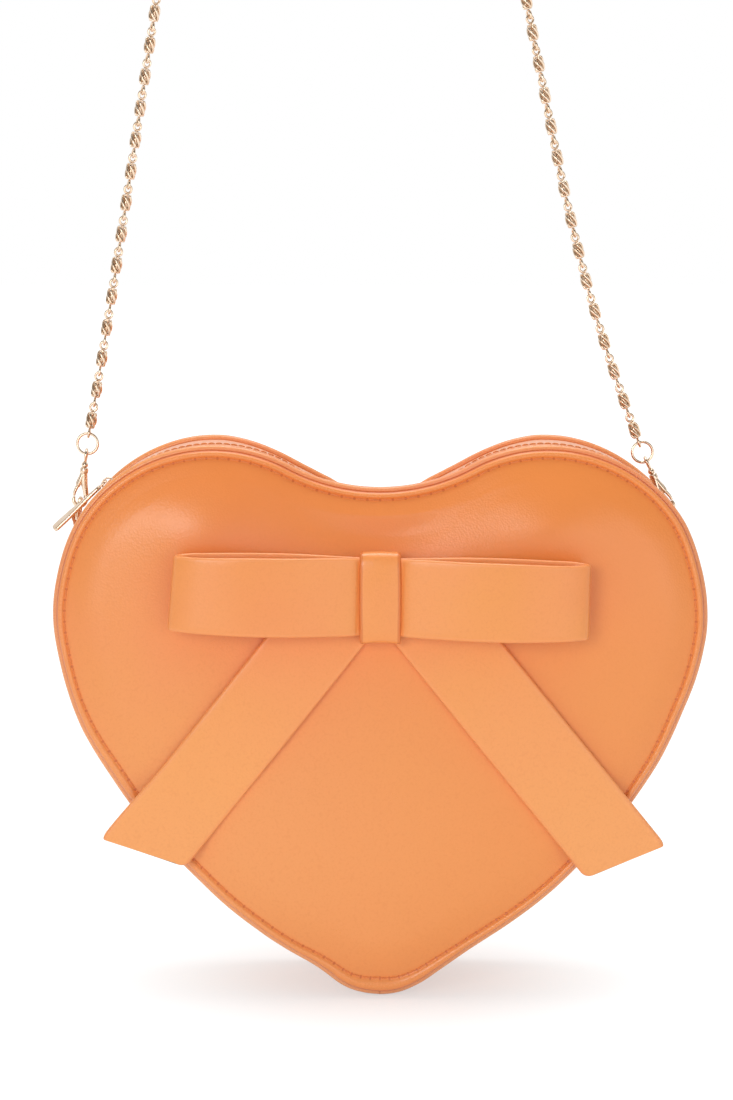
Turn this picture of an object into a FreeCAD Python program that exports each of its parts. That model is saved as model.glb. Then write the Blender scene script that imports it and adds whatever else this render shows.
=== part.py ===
import FreeCAD, Part
import math
import os

Vector = FreeCAD.Vector
Rotation = FreeCAD.Rotation
Placement = FreeCAD.Placement

doc = FreeCAD.newDocument("heart_purse")
sheet = doc.addObject("Spreadsheet::Sheet", "sizes")

# Driving dimensions, in millimetres and degrees.
driving = {
    # Heart outline, measured at the piping, with the tip about at height zero.
    "lobe_radius": 54.2,
    "lobe_spread": 55.8,
    "lobe_height": 131.75,
    "valley_radius": 64.4,
    "side_radius": 153.75,
    "shoulder_angle": 11.65,
    "flank_angle": 34.73,
    "tip_radius": 29.24,
    # Pouch walls.
    "gusset_depth": 54.0,
    "leather": 1.6,
    "panel_edge": 2.7,
    "edge_round": 0.5,
    "panel_inset": 0.8,
    "crown_height": 5.9,
    "crown_width": 30.0,
    "back_rise": 1.3,
    "back_rim": 9.0,
    "seam_allowance": 2.0,
    "piping_dia": 2.6,
    "gusset_inset": 1.6,
    "board": 1.2,
    "board_inset": 5.0,
    "lining": 0.6,
    "lining_gap": 0.2,
    "overrun": 20.0,
    # Zip along the top of the gusset.
    "zip_offset": 5.5,
    "zip_end_angle": 50.0,
    "zip_gap": 3.8,
    "tape": 0.7,
    "tape_width": 9.0,
    "coil_width": 1.4,
    "coil_slot": 1.6,
    "coil_rise": 0.8,
    "coil_sink": 0.4,
    "coil_end_angle": 47.4,
    "stop_angle": 2.0,
    "stop_play_angle": 0.2,
    "slider_angle": 42.6,
    "slider_length": 8.6,
    "slider_width": 6.4,
    "slider_plate": 1.3,
    "slider_play": 0.35,
    "slider_sag": 0.25,
    "neck_width": 1.0,
    "neck_length": 4.6,
    "bridge_width": 1.4,
    "bridge_wall": 1.0,
    "bridge_height": 2.8,
    "bridge_gap": 3.4,
    "pull_length": 24.0,
    "pull_width": 4.4,
    "pull_thick": 1.5,
    "pull_bar": 1.3,
    "pull_window": 4.0,
    "pull_play": 0.4,
    # Ring tabs and their D rings.
    "ring_offset": 1.5,
    "ring_angle": 60.0,
    "tab_width": 5.2,
    "tab_thick": 1.4,
    "tab_loop": 1.15,
    "tab_end_angle": 82.0,
    "d_ring_wire": 1.4,
    "d_ring_inner": 5.6,
    "d_ring_leg": 3.5,
    "d_ring_play": 0.15,
    # Strap clasps, in line with the pull of the strap.
    "left_strap_angle": 7.8,
    "right_strap_angle": 20.0,
    "hook_hang": 1.8,
    "hook_inner": 2.1,
    "hook_wire": 1.6,
    "hook_start_angle": 100.0,
    "hook_sweep_angle": 250.0,
    "shank_width": 6.4,
    "shank_thick": 3.0,
    "shank_bite": 0.8,
    "shank_height": 3.4,
    "yoke_width": 4.2,
    "yoke_wall": 0.7,
    "yoke_floor": 0.6,
    "yoke_room": 2.3,
    "yoke_roof": 1.3,
    "post_dia": 1.0,
    "post_play": 0.2,
    "post_head_dia": 2.2,
    "post_head": 1.3,
    "post_reach": 4.6,
    "eye_inner": 1.4,
    "eye_wire": 1.2,
    "eye_bite": 0.5,
    "gate_thick": 1.1,
    "gate_width": 1.2,
    "gate_play": 0.2,
    "gate_gap": 0.35,
    "gate_swing_room": 1.1,
    "pin_dia": 0.8,
    "pin_play": 0.1,
    "pin_height": 2.0,
    # Chain.
    "ring_dia": 6.8,
    "ring_wire": 1.1,
    "ring_play": 0.25,
    "link_pitch": 10.4,
    "link_eye": 2.7,
    "link_wire": 0.9,
    "link_play": 0.2,
    "link_body_dia": 3.6,
    "link_body_end": 1.6,
    "link_bite": 0.5,
    # Bow.
    "bow_height": 137.0,
    "bow_width": 138.0,
    "bow_band": 25.5,
    "bow_leather": 1.8,
    "bow_bulge": 11.0,
    "bow_pinch": 4.0,
    "bow_end_round": 4.0,
    "knot_width": 13.0,
    "knot_height": 31.5,
    "knot_back": 1.6,
    "knot_front": 2.0,
    "knot_play": 0.2,
    "knot_round": 2.4,
    "tail_thick": 2.2,
    "tail_angle": 51.0,
    "tail_start": 12.0,
    "tail_outer_reach": 122.0,
    "tail_inner_reach": 113.1,
    "tail_width": 26.8,
    "tail_drop": 6.9,
    "bow_rivet_dia": 3.0,
    "bow_rivet_head_dia": 10.0,
    "bow_rivet_play": 0.2,
    # Slip pocket on the rear lining.
    "pocket_width": 92.0,
    "pocket_height": 62.0,
    "pocket_foot": 68.0,
    "pocket_cloth": 0.8,
    "pocket_room": 1.0,
    "pocket_seam": 2.0,
}
for row, (name, number) in enumerate(driving.items(), start=1):
    sheet.set("A%d" % row, name)
    sheet.set("B%d" % row, str(number))
    sheet.setAlias("B%d" % row, name)
doc.recompute()


class Sizes:
    """The sheet's numbers by name."""


size = Sizes()
for name in driving:
    setattr(size, name, float(sheet.get(name)))

# Shares of the crown's width and height at each section of the padded front panel.
crown_width_shares = (0.1, 0.3, 0.6, 1.0)
crown_height_shares = (0.05, 0.4, 0.77, 1.0)
# Least share of the tip radius that an inset outline keeps.
tip_round_share = 0.4
# Degrees of half a turn.
half_turn = 180.0
# Share of the bow's half width where the front of a loop stands out most.
bow_bulge_share = 0.68
# Share of the bulge that is left where the end fold starts.
bow_end_share = 0.62

half_depth = size.gusset_depth / 2
band_half = half_depth - size.piping_dia

# Heart construction: circle centres, the flank's normal and its distance.
lobe = Vector(size.lobe_spread, size.lobe_height)
valley_rise = math.sqrt((size.lobe_radius + size.valley_radius) ** 2 - size.lobe_spread ** 2)
valley = Vector(0, size.lobe_height + valley_rise)
shoulder = math.radians(size.shoulder_angle)
side = lobe - Vector(math.cos(shoulder), -math.sin(shoulder)) * (size.side_radius - size.lobe_radius)
flank_turn = math.radians(size.flank_angle) - math.pi / 2
flank = Vector(math.cos(flank_turn), math.sin(flank_turn))
flank_reach = flank.dot(side) + size.side_radius
valley_turn = math.atan2(lobe.y - valley.y, lobe.x - valley.x)


def tip_circle(inset):
    """Height of the tip circle's centre and its radius for an outline moved in by inset."""
    radius = max(size.tip_radius - inset, size.tip_radius * tip_round_share)
    return (flank_reach - inset - radius) / flank.y, radius


def arc(centre, radius, start, stop, flip=1):
    """Arc about centre from start to stop in radians, mirrored in the height axis when flip is -1."""
    if flip < 0:
        start, stop = math.pi - stop, math.pi - start
    circle = Part.Circle(Vector(centre.x * flip, centre.y), Vector(0, 0, 1), radius)
    return Part.ArcOfCircle(circle, start, stop)


def line(a, b):
    return Part.LineSegment(Vector(a.x, a.y), Vector(b.x, b.y))


def mirrored(point, flip):
    return Vector(point.x * flip, point.y)


def flank_points(inset):
    """Ends of the straight flank on the right for an outline moved in by inset."""
    centre, radius = tip_circle(inset)
    return side + flank * (size.side_radius - inset), Vector(0, centre) + flank * radius


def heart(inset, split=False):
    """Closed heart outline moved in by inset; a split one starts at the lowest point of the valley."""
    centre, radius = tip_circle(inset)
    upper, lower = flank_points(inset)
    valley_radius = size.valley_radius + inset
    lobe_radius = size.lobe_radius - inset
    side_radius = size.side_radius - inset
    right = [
        arc(lobe, lobe_radius, -shoulder, valley_turn + math.pi),
        arc(side, side_radius, flank_turn, -shoulder),
        line(upper, lower),
    ]
    left = [
        line(mirrored(lower, -1), mirrored(upper, -1)),
        arc(side, side_radius, flank_turn, -shoulder, -1),
        arc(lobe, lobe_radius, -shoulder, valley_turn + math.pi, -1),
    ]
    tip = [arc(Vector(0, centre), radius, -math.pi - flank_turn, flank_turn)]
    if split:
        first = [arc(valley, valley_radius, -math.pi / 2, valley_turn)]
        last = [arc(valley, valley_radius, -math.pi - valley_turn, -math.pi / 2)]
        return first + right + tip + left + last
    return [arc(valley, valley_radius, -math.pi - valley_turn, valley_turn)] + right + tip + left


def lobe_point(inset, lean, flip):
    """Point of the lobe at lean degrees outward from the vertical."""
    turn = math.radians(lean)
    reach = size.lobe_radius - inset
    return mirrored(lobe + Vector(math.sin(turn), math.cos(turn)) * reach, flip)


def lower_band(outer, inner, lean, flip):
    """Band from lean on one lobe, down the side and flank, to the middle of the tip."""
    made = []
    for inset in (outer, inner):
        centre, radius = tip_circle(inset)
        upper, lower = flank_points(inset)
        made.append(arc(lobe, size.lobe_radius - inset, -shoulder, math.pi / 2 - math.radians(lean), flip))
        made.append(arc(side, size.side_radius - inset, flank_turn, -shoulder, flip))
        made.append(line(mirrored(upper, flip), mirrored(lower, flip)))
        made.append(arc(Vector(0, centre), radius, -math.pi / 2, flank_turn, flip))
    made.append(line(lobe_point(outer, lean, flip), lobe_point(inner, lean, flip)))
    ends = [Vector(0, tip_circle(inset)[0] - tip_circle(inset)[1]) for inset in (outer, inner)]
    made.append(line(*ends))
    return made


def whole_lower_band(outer, inner, lean):
    """Band from lean on the left lobe, round the tip, to lean on the right lobe."""
    made = []
    for inset in (outer, inner):
        centre, radius = tip_circle(inset)
        upper, lower = flank_points(inset)
        made.append(arc(Vector(0, centre), radius, -math.pi - flank_turn, flank_turn))
        for flip in (1, -1):
            stop = math.pi / 2 - math.radians(lean)
            made.append(arc(lobe, size.lobe_radius - inset, -shoulder, stop, flip))
            made.append(arc(side, size.side_radius - inset, flank_turn, -shoulder, flip))
            made.append(line(mirrored(upper, flip), mirrored(lower, flip)))
    for flip in (1, -1):
        made.append(line(lobe_point(outer, lean, flip), lobe_point(inner, lean, flip)))
    return made


def top_band(outer, inner, lean):
    """Band from lean on the left lobe, through the valley, to lean on the right lobe."""
    made = []
    for inset in (outer, inner):
        made.append(arc(valley, size.valley_radius + inset, -math.pi - valley_turn, valley_turn))
        for flip in (1, -1):
            start = math.pi / 2 - math.radians(lean)
            made.append(arc(lobe, size.lobe_radius - inset, start, valley_turn + math.pi, flip))
    for flip in (1, -1):
        made.append(line(lobe_point(outer, lean, flip), lobe_point(inner, lean, flip)))
    return made


def lobe_band(outer, inner, low, high, flip):
    """Short band on one lobe between the leans low and high."""
    start = math.pi / 2 - math.radians(high)
    stop = math.pi / 2 - math.radians(low)
    made = [arc(lobe, size.lobe_radius - inset, start, stop, flip) for inset in (outer, inner)]
    for lean in (low, high):
        made.append(line(lobe_point(outer, lean, flip), lobe_point(inner, lean, flip)))
    return made


# Strap line: from each D ring's bar through hook, clasp and ring to the chain.
hook_round = size.hook_inner + size.hook_wire / 2
d_ring_round = (size.d_ring_inner + size.d_ring_wire) / 2
hook_rise = size.d_ring_leg + d_ring_round - size.hook_hang
ring_round = size.ring_dia / 2
tab_tube = size.d_ring_wire / 2 + size.d_ring_play + size.tab_loop
bar_inset = size.gusset_inset - tab_tube
shank_base = 2 * hook_round - size.shank_bite
shank_top = shank_base + size.shank_height
window_foot = shank_top + size.yoke_floor
window_top = window_foot + size.yoke_room
yoke_top = window_top + size.yoke_roof
eye_round = size.eye_inner + size.eye_wire / 2
eye_centre = yoke_top + size.post_reach
clasp_reach = eye_centre + size.eye_inner - size.ring_wire / 2 - size.ring_play


class StrapEnd:
    """Places along one end of the strap, in its upright plane: bar, hook, ring and chain end."""

    def __init__(self, lean, flip):
        turn = math.radians(lean)
        bar = lobe_point(bar_inset, size.ring_angle, flip)
        self.flip = flip
        self.turn = -flip * lean
        self.way = Vector(-flip * math.sin(turn), 0, math.cos(turn))
        self.bar = Vector(bar.x, size.ring_offset, bar.y)
        self.hook = self.bar + self.way * hook_rise
        self.catch = self.hook + self.way * clasp_reach
        self.ring = self.catch + self.way * ring_round
        self.chain = self.ring + self.way * ring_round


left_end = StrapEnd(size.left_strap_angle, -1)
right_end = StrapEnd(size.right_strap_angle, 1)

# Route of the chain above the rings: a taut left run, an arch that closes the strap, a slack right run.
route = [
    left_end.chain,
    Vector(-67.0, size.ring_offset, 389.4),
    Vector(-14.0, size.ring_offset, 417.5),
    Vector(37.5, size.ring_offset, 391.3),
    Vector(52.4, size.ring_offset, 318.0),
    Vector(63.0, size.ring_offset, 266.0),
    Vector(76.4, size.ring_offset, 220.0),
    right_end.chain,
]
bend_share = 0.45


def rounded_route(points):
    """Straight runs joined by tangent arcs: the pieces in order, and the arcs' radii."""
    pieces = []
    radii = []
    here = points[0]
    for before, corner, after in zip(points, points[1:], points[2:]):
        way_in = (corner - before).normalize()
        way_out = (after - corner).normalize()
        turn = way_in.getAngle(way_out)
        cut = bend_share * min((corner - before).Length, (after - corner).Length)
        radius = cut / math.tan(turn / 2)
        start = corner - way_in * cut
        inward = (way_out - way_in * way_in.dot(way_out)).normalize()
        centre = start + inward * radius
        pieces.append(("run", here, start, None, None, None, (start - here).Length))
        pieces.append(("bend", centre, way_in, inward, radius, turn, radius * turn))
        here = corner + way_out * cut
        radii.append(radius)
    pieces.append(("run", here, points[-1], None, None, None, (points[-1] - here).Length))
    return pieces, radii


def route_at(pieces, reach):
    """Place and direction on the rounded route at a length from its start."""
    left_over = reach
    for number, piece in enumerate(pieces):
        if left_over > piece[6] and number < len(pieces) - 1:
            left_over -= piece[6]
            continue
        if piece[0] == "run":
            way = (piece[2] - piece[1]).normalize()
            return piece[1] + way * left_over, way
        angle = left_over / piece[4]
        spoke = piece[3] * -math.cos(angle) + piece[2] * math.sin(angle)
        return piece[1] + spoke * piece[4], piece[2] * math.cos(angle) + piece[3] * math.sin(angle)


route_pieces, route_radii = rounded_route(route)
route_length = sum(piece[6] for piece in route_pieces)
print("chain bend radii", [round(radius, 1) for radius in route_radii])

# The origin is the strap's carrying point: where the arch crosses the heart's middle plane.
low_reach = 0.0
high_reach = route_length / 2
for halving in range(60):
    middle = (low_reach + high_reach) / 2
    if route_at(route_pieces, middle)[0].x < 0:
        low_reach = middle
    else:
        high_reach = middle
    if route_at(route_pieces, high_reach)[0].x < 0:
        high_reach = (high_reach + route_length) / 2
carry = route_at(route_pieces, low_reach)[0]
hang = Vector(0, -size.ring_offset, -carry.z)
print("tip below the carrying point", round(carry.z, 3), "chain route", round(route_length, 2))

nodes = []


def keep(piece, label):
    """Name a finished sub-part."""
    piece.Label = label
    nodes.append(piece)
    return piece


def new_body(label, where):
    body = doc.addObject("PartDesign::Body", label)
    body.Placement = Placement(where, Rotation())
    return body


def sketch_on(body, role, geometry, offset=None):
    """Sketch on one of the body's own origin planes, moved along its normal by an expression."""
    sketch = body.newObject("Sketcher::SketchObject", body.Name + "_sketch")
    plane = [feature for feature in body.Origin.OriginFeatures if feature.Role == role][0]
    sketch.AttachmentSupport = [(plane, "")]
    sketch.MapMode = "FlatFace"
    if offset is not None:
        sketch.setExpression("AttachmentOffset.Base.z", offset)
    sketch.addGeometry(geometry, False)
    return sketch


def pad_on(body, sketch, length):
    """Pad of a sketch from its plane toward the rear of the purse, as long as the expression says."""
    pad = body.newObject("PartDesign::Pad", body.Name + "_pad")
    pad.Profile = sketch
    pad.Reversed = True
    pad.setExpression("Length", length)
    return pad


def plate(label, geometry, front, length):
    """Flat piece: an upright outline padded from the depth front toward the rear."""
    body = new_body(label, hang + Vector(0, front, 0))
    pad_on(body, sketch_on(body, "XZ_Plane", geometry), length)
    return body


def bore(body, centre, radius):
    """Hole along the depth through everything, about an upright-plane centre."""
    sketch = sketch_on(body, "XZ_Plane", [Part.Circle(centre, Vector(0, 0, 1), radius)])
    pocket = body.newObject("PartDesign::Pocket", body.Name + "_bore")
    pocket.Profile = sketch
    pocket.Midplane = True
    pocket.setExpression("Length", "sizes.gusset_depth + sizes.overrun")
    return pocket


def loft_on(body, sections, kind):
    """Ruled loft through heart outlines, each an inset and an expression for its offset to the front."""
    sketches = [sketch_on(body, "XZ_Plane", heart(inset), offset) for inset, offset in sections]
    loft = body.newObject("PartDesign::" + kind, body.Name + "_loft")
    loft.Profile = sketches[0]
    loft.Sections = sketches[1:]
    loft.Ruled = True
    return loft


def crown_sections(inset, sink):
    """Sections of the padded crown from the rim inward, moved in by inset and sunk back by sink."""
    made = []
    for wide, high in zip(crown_width_shares, crown_height_shares):
        offset = "sizes.panel_edge + sizes.crown_height * %s%s" % (high, sink)
        made.append((size.crown_width * wide + inset, offset))
    return made


def solid(kind, name, where, **bound):
    """Part primitive at a placement, with its sizes bound by expressions."""
    piece = doc.addObject("Part::" + kind, name)
    piece.Placement = where
    for key, expression in bound.items():
        piece.setExpression(key, expression)
    return piece


def at(x, y, z, axis=None, angle=0.0):
    turn = Rotation() if axis is None else Rotation(axis, angle)
    return Placement(Vector(x, y, z), turn)


def joined(label, pieces):
    fuse = doc.addObject("Part::MultiFuse", label)
    fuse.Shapes = pieces
    fuse.Refine = True
    return fuse


def cut_from(label, base, tools):
    tool = tools[0] if len(tools) == 1 else joined(label + "_tool", tools)
    cut = doc.addObject("Part::Cut", label)
    cut.Base = base
    cut.Tool = tool
    return cut


axis_x = Vector(1, 0, 0)
axis_y = Vector(0, 1, 0)
axis_z = Vector(0, 0, 1)
rivet_radius = size.bow_rivet_dia / 2
rivet_centre = Vector(0, size.bow_height)

# Front panel: a leather skin with a rolled edge and a padded crown, hollow behind for its padding.
rim = [
    (size.panel_inset + size.edge_round, "0"),
    (size.panel_inset, "sizes.panel_edge / 2"),
    (size.panel_inset + size.edge_round, "sizes.panel_edge"),
]
padding_inset = size.leather + size.seam_allowance
padding = crown_sections(padding_inset, " - sizes.leather")
padding = [(padding[0][0], "0")] + padding
panel = new_body("front_panel", hang + Vector(0, -half_depth, 0))
loft_on(panel, rim + crown_sections(0.0, ""), "AdditiveLoft")
loft_on(panel, padding, "SubtractiveLoft")
bore(panel, rivet_centre, rivet_radius + size.bow_rivet_play)
keep(panel, "front_panel")

pad_piece = new_body("front_padding", hang + Vector(0, -half_depth, 0))
loft_on(pad_piece, padding, "AdditiveLoft")
bore(pad_piece, rivet_centre, rivet_radius + size.bow_rivet_play)
keep(pad_piece, "front_padding")

# Rear panel: the same rim with a low rise to a flat back.
rear = new_body("back_panel", hang + Vector(0, half_depth, 0))
rear_rim = [(inset, "-(%s)" % offset) for inset, offset in rim]
rear_rim.append((size.back_rim, "-(sizes.panel_edge + sizes.back_rise)"))
loft_on(rear, rear_rim, "AdditiveLoft")
keep(rear, "back_panel")

# Boards and lining sheets inside both panels.
board_front = plate("front_board", heart(size.board_inset), -half_depth, "sizes.board")
bore(board_front, rivet_centre, rivet_radius + size.bow_rivet_play)
keep(board_front, "front_board")
keep(plate("back_board", heart(size.board_inset), half_depth - size.board, "sizes.board"), "back_board")
lining_inset = size.gusset_inset + size.leather + size.lining + size.lining_gap
lining_front = -half_depth + size.board
sheet_front = plate("front_lining", heart(lining_inset), lining_front, "sizes.lining")
bore(sheet_front, rivet_centre, size.bow_rivet_head_dia / 2 + size.bow_rivet_play)
keep(sheet_front, "front_lining")
lining_back = half_depth - size.board - size.lining
keep(plate("back_lining", heart(lining_inset), lining_back, "sizes.lining"), "back_lining")

# Piping cords sewn between the panels and the gusset.
piping_inset = size.piping_dia / 2
for label, way in (("front_piping", -1), ("back_piping", 1)):
    body = new_body(label, hang + Vector(0, way * (half_depth - size.piping_dia / 2), 0))
    spine = sketch_on(body, "XZ_Plane", heart(piping_inset, split=True))
    start = Vector(0, valley.y - size.valley_radius - piping_inset)
    ring = sketch_on(body, "YZ_Plane", [Part.Circle(start, axis_z, size.piping_dia / 2)])
    pipe = body.newObject("PartDesign::AdditivePipe", label + "_pipe")
    pipe.Profile = ring
    pipe.Spine = (spine, [])
    keep(body, label)

# Gusset: two lower bands that meet at the tip, and two strips along the top on either side of the zip.
band_inner = size.gusset_inset + size.leather
band_length = "sizes.gusset_depth - 2 * sizes.piping_dia"
for label, flip in (("left_gusset", -1), ("right_gusset", 1)):
    outline = lower_band(size.gusset_inset, band_inner, size.zip_end_angle, flip)
    keep(plate(label, outline, -band_half, band_length), label)
outline = top_band(size.gusset_inset, band_inner, size.zip_end_angle)
zip_middle = -size.zip_offset
strip_length = "sizes.gusset_depth / 2 - sizes.piping_dia - sizes.zip_gap"
keep(plate("top_gusset_front", outline, -band_half, strip_length + " - sizes.zip_offset"), "top_gusset_front")
strip_start = zip_middle + size.zip_gap
keep(plate("top_gusset_back", outline, strip_start, strip_length + " + sizes.zip_offset"), "top_gusset_back")
inner_face = band_inner + size.lining
outline = whole_lower_band(band_inner, inner_face, size.zip_end_angle)
lining_half = half_depth - size.board - size.lining
lining_length = "sizes.gusset_depth - 2 * sizes.board - 2 * sizes.lining"
keep(plate("lining_band", outline, -lining_half, lining_length), "lining_band")

# Zip: tapes under the strips, a row of coil on each tape, and a stop at each end.
coil_half = size.coil_slot / 2
coil_out = coil_half + size.coil_width
tape_outline = top_band(band_inner, band_inner + size.tape, size.zip_end_angle)
tape_length = "sizes.tape_width - sizes.coil_slot / 2 - sizes.coil_width"
keep(plate("zip_tape_front", tape_outline, zip_middle - size.tape_width, tape_length), "zip_tape_front")
keep(plate("zip_tape_back", tape_outline, zip_middle + coil_out, tape_length), "zip_tape_back")
coil_top = band_inner - size.coil_rise
coil_foot = band_inner + size.tape + size.coil_sink
coil_outline = top_band(coil_top, coil_foot, size.coil_end_angle)
keep(plate("zip_coil_front", coil_outline, zip_middle - coil_out, "sizes.coil_width"), "zip_coil_front")
keep(plate("zip_coil_back", coil_outline, zip_middle + coil_half, "sizes.coil_width"), "zip_coil_back")
stop_low = size.coil_end_angle + size.stop_play_angle
for label, flip in (("zip_stop_left", -1), ("zip_stop_right", 1)):
    outline = lobe_band(coil_top, coil_foot, stop_low, stop_low + size.stop_angle, flip)
    stop_length = "sizes.coil_slot + 2 * sizes.coil_width"
    keep(plate(label, outline, zip_middle - coil_out, stop_length), label)

# Slider, upright over the lobe's centre in its own frame, then leaned to the zip's closed end.
top_face = size.lobe_radius - coil_top + size.slider_play
low_face = size.lobe_radius - coil_foot - size.slider_play - size.slider_sag
plate_top = top_face + size.slider_plate
bridge_length = size.bridge_gap + 2 * size.bridge_wall
half_length = size.slider_length / 2
upper_plate = solid(
    "Box", "slider_upper", at(-half_length, -size.slider_width / 2, top_face),
    Length="sizes.slider_length", Width="sizes.slider_width", Height="sizes.slider_plate",
)
lower_plate = solid(
    "Box", "slider_lower", at(-half_length, -size.slider_width / 2, low_face - size.slider_plate),
    Length="sizes.slider_length", Width="sizes.slider_width", Height="sizes.slider_plate",
)
neck = solid(
    "Box", "slider_neck", at(-size.neck_length / 2, -size.neck_width / 2, low_face),
    Length="sizes.neck_length", Width="sizes.neck_width",
)
neck.Height = top_face - low_face
bridge = solid(
    "Box", "slider_bridge", at(-bridge_length / 2, -size.bridge_width / 2, plate_top),
    Length="sizes.bridge_gap + 2 * sizes.bridge_wall", Width="sizes.bridge_width",
    Height="sizes.bridge_height + sizes.bridge_wall",
)
bridge_room = solid(
    "Box", "slider_bridge_room", at(-size.bridge_gap / 2, -size.bridge_width, plate_top),
    Length="sizes.bridge_gap", Width="2 * sizes.bridge_width", Height="sizes.bridge_height",
)
arch = cut_from("slider_arch", bridge, [bridge_room])
slider = joined("zip_slider", [upper_plate, lower_plate, neck, arch])
slider_base = hang + Vector(-lobe.x, zip_middle, lobe.y)
slider_turn = Rotation(axis_y, -size.slider_angle)
slider.Placement = Placement(slider_base, slider_turn)
keep(slider, "zip_slider")

# Pull: a flat bar whose cross bar passes under the slider's bridge, hanging along the gusset.
pivot_height = plate_top + size.bridge_height / 2
pull_flat = solid(
    "Box", "pull_flat", at(-size.pull_length, -size.pull_width / 2, -size.pull_thick / 2),
    Width="sizes.pull_width", Height="sizes.pull_thick",
    Length="sizes.pull_length + sizes.pull_bar / 2",
)
window_width = size.bridge_width + 2 * size.pull_play
pull_window = solid(
    "Box", "pull_opening", at(-size.pull_bar / 2 - size.pull_window, -window_width / 2, -size.pull_thick),
    Length="sizes.pull_window", Height="2 * sizes.pull_thick",
    Width="sizes.bridge_width + 2 * sizes.pull_play",
)
pull = cut_from("zip_pull", pull_flat, [pull_window])
pull.Placement = Placement(slider_base + slider_turn.multVec(Vector(0, 0, pivot_height)), slider_turn)
keep(pull, "zip_pull")

# Ring tabs: a folded leather tab on each side, looped round the bar of its D ring.
tab_start = size.ring_offset - size.tab_width / 2
for name, end in (("left", left_end), ("right", right_end)):
    body = new_body(name + "_ring_tab", hang + Vector(0, tab_start, 0))
    outer = size.gusset_inset - size.tab_thick
    outline = lobe_band(outer, size.gusset_inset, size.ring_angle, size.tab_end_angle, end.flip)
    pad_on(body, sketch_on(body, "XZ_Plane", outline), "sizes.tab_width")
    eye = Vector(end.bar.x, end.bar.z)
    loop = sketch_on(body, "XZ_Plane", [Part.Circle(eye, axis_z, tab_tube)])
    pad_on(body, loop, "sizes.tab_width")
    bore(body, eye, size.d_ring_wire / 2 + size.d_ring_play)
    keep(body, name + "_ring_tab")

# D rings: a straight bar in the tab, two legs and a half round.
for name, end in (("left", left_end), ("right", right_end)):
    wire = "sizes.d_ring_wire / 2"
    label = name + "_d_ring"
    half = d_ring_round
    pieces = [
        solid("Cylinder", label + "_bar", at(0, half, 0, axis_x, 90), Radius=wire,
              Height="sizes.d_ring_inner + sizes.d_ring_wire"),
        solid("Cylinder", label + "_leg_a", at(0, -half, 0), Radius=wire, Height="sizes.d_ring_leg"),
        solid("Cylinder", label + "_leg_b", at(0, half, 0), Radius=wire, Height="sizes.d_ring_leg"),
        solid("Sphere", label + "_corner_a", at(0, -half, 0), Radius=wire),
        solid("Sphere", label + "_corner_b", at(0, half, 0), Radius=wire),
        solid("Torus", label + "_bow", Placement(Vector(0, 0, size.d_ring_leg),
              Rotation(axis_z, 90).multiply(Rotation(axis_x, 90))),
              Radius1="(sizes.d_ring_inner + sizes.d_ring_wire) / 2", Radius2=wire, Angle3="180"),
    ]
    ring = joined(label, pieces)
    ring.Placement = Placement(hang + end.bar, Rotation(axis_y, end.turn))
    keep(ring, label)

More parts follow.
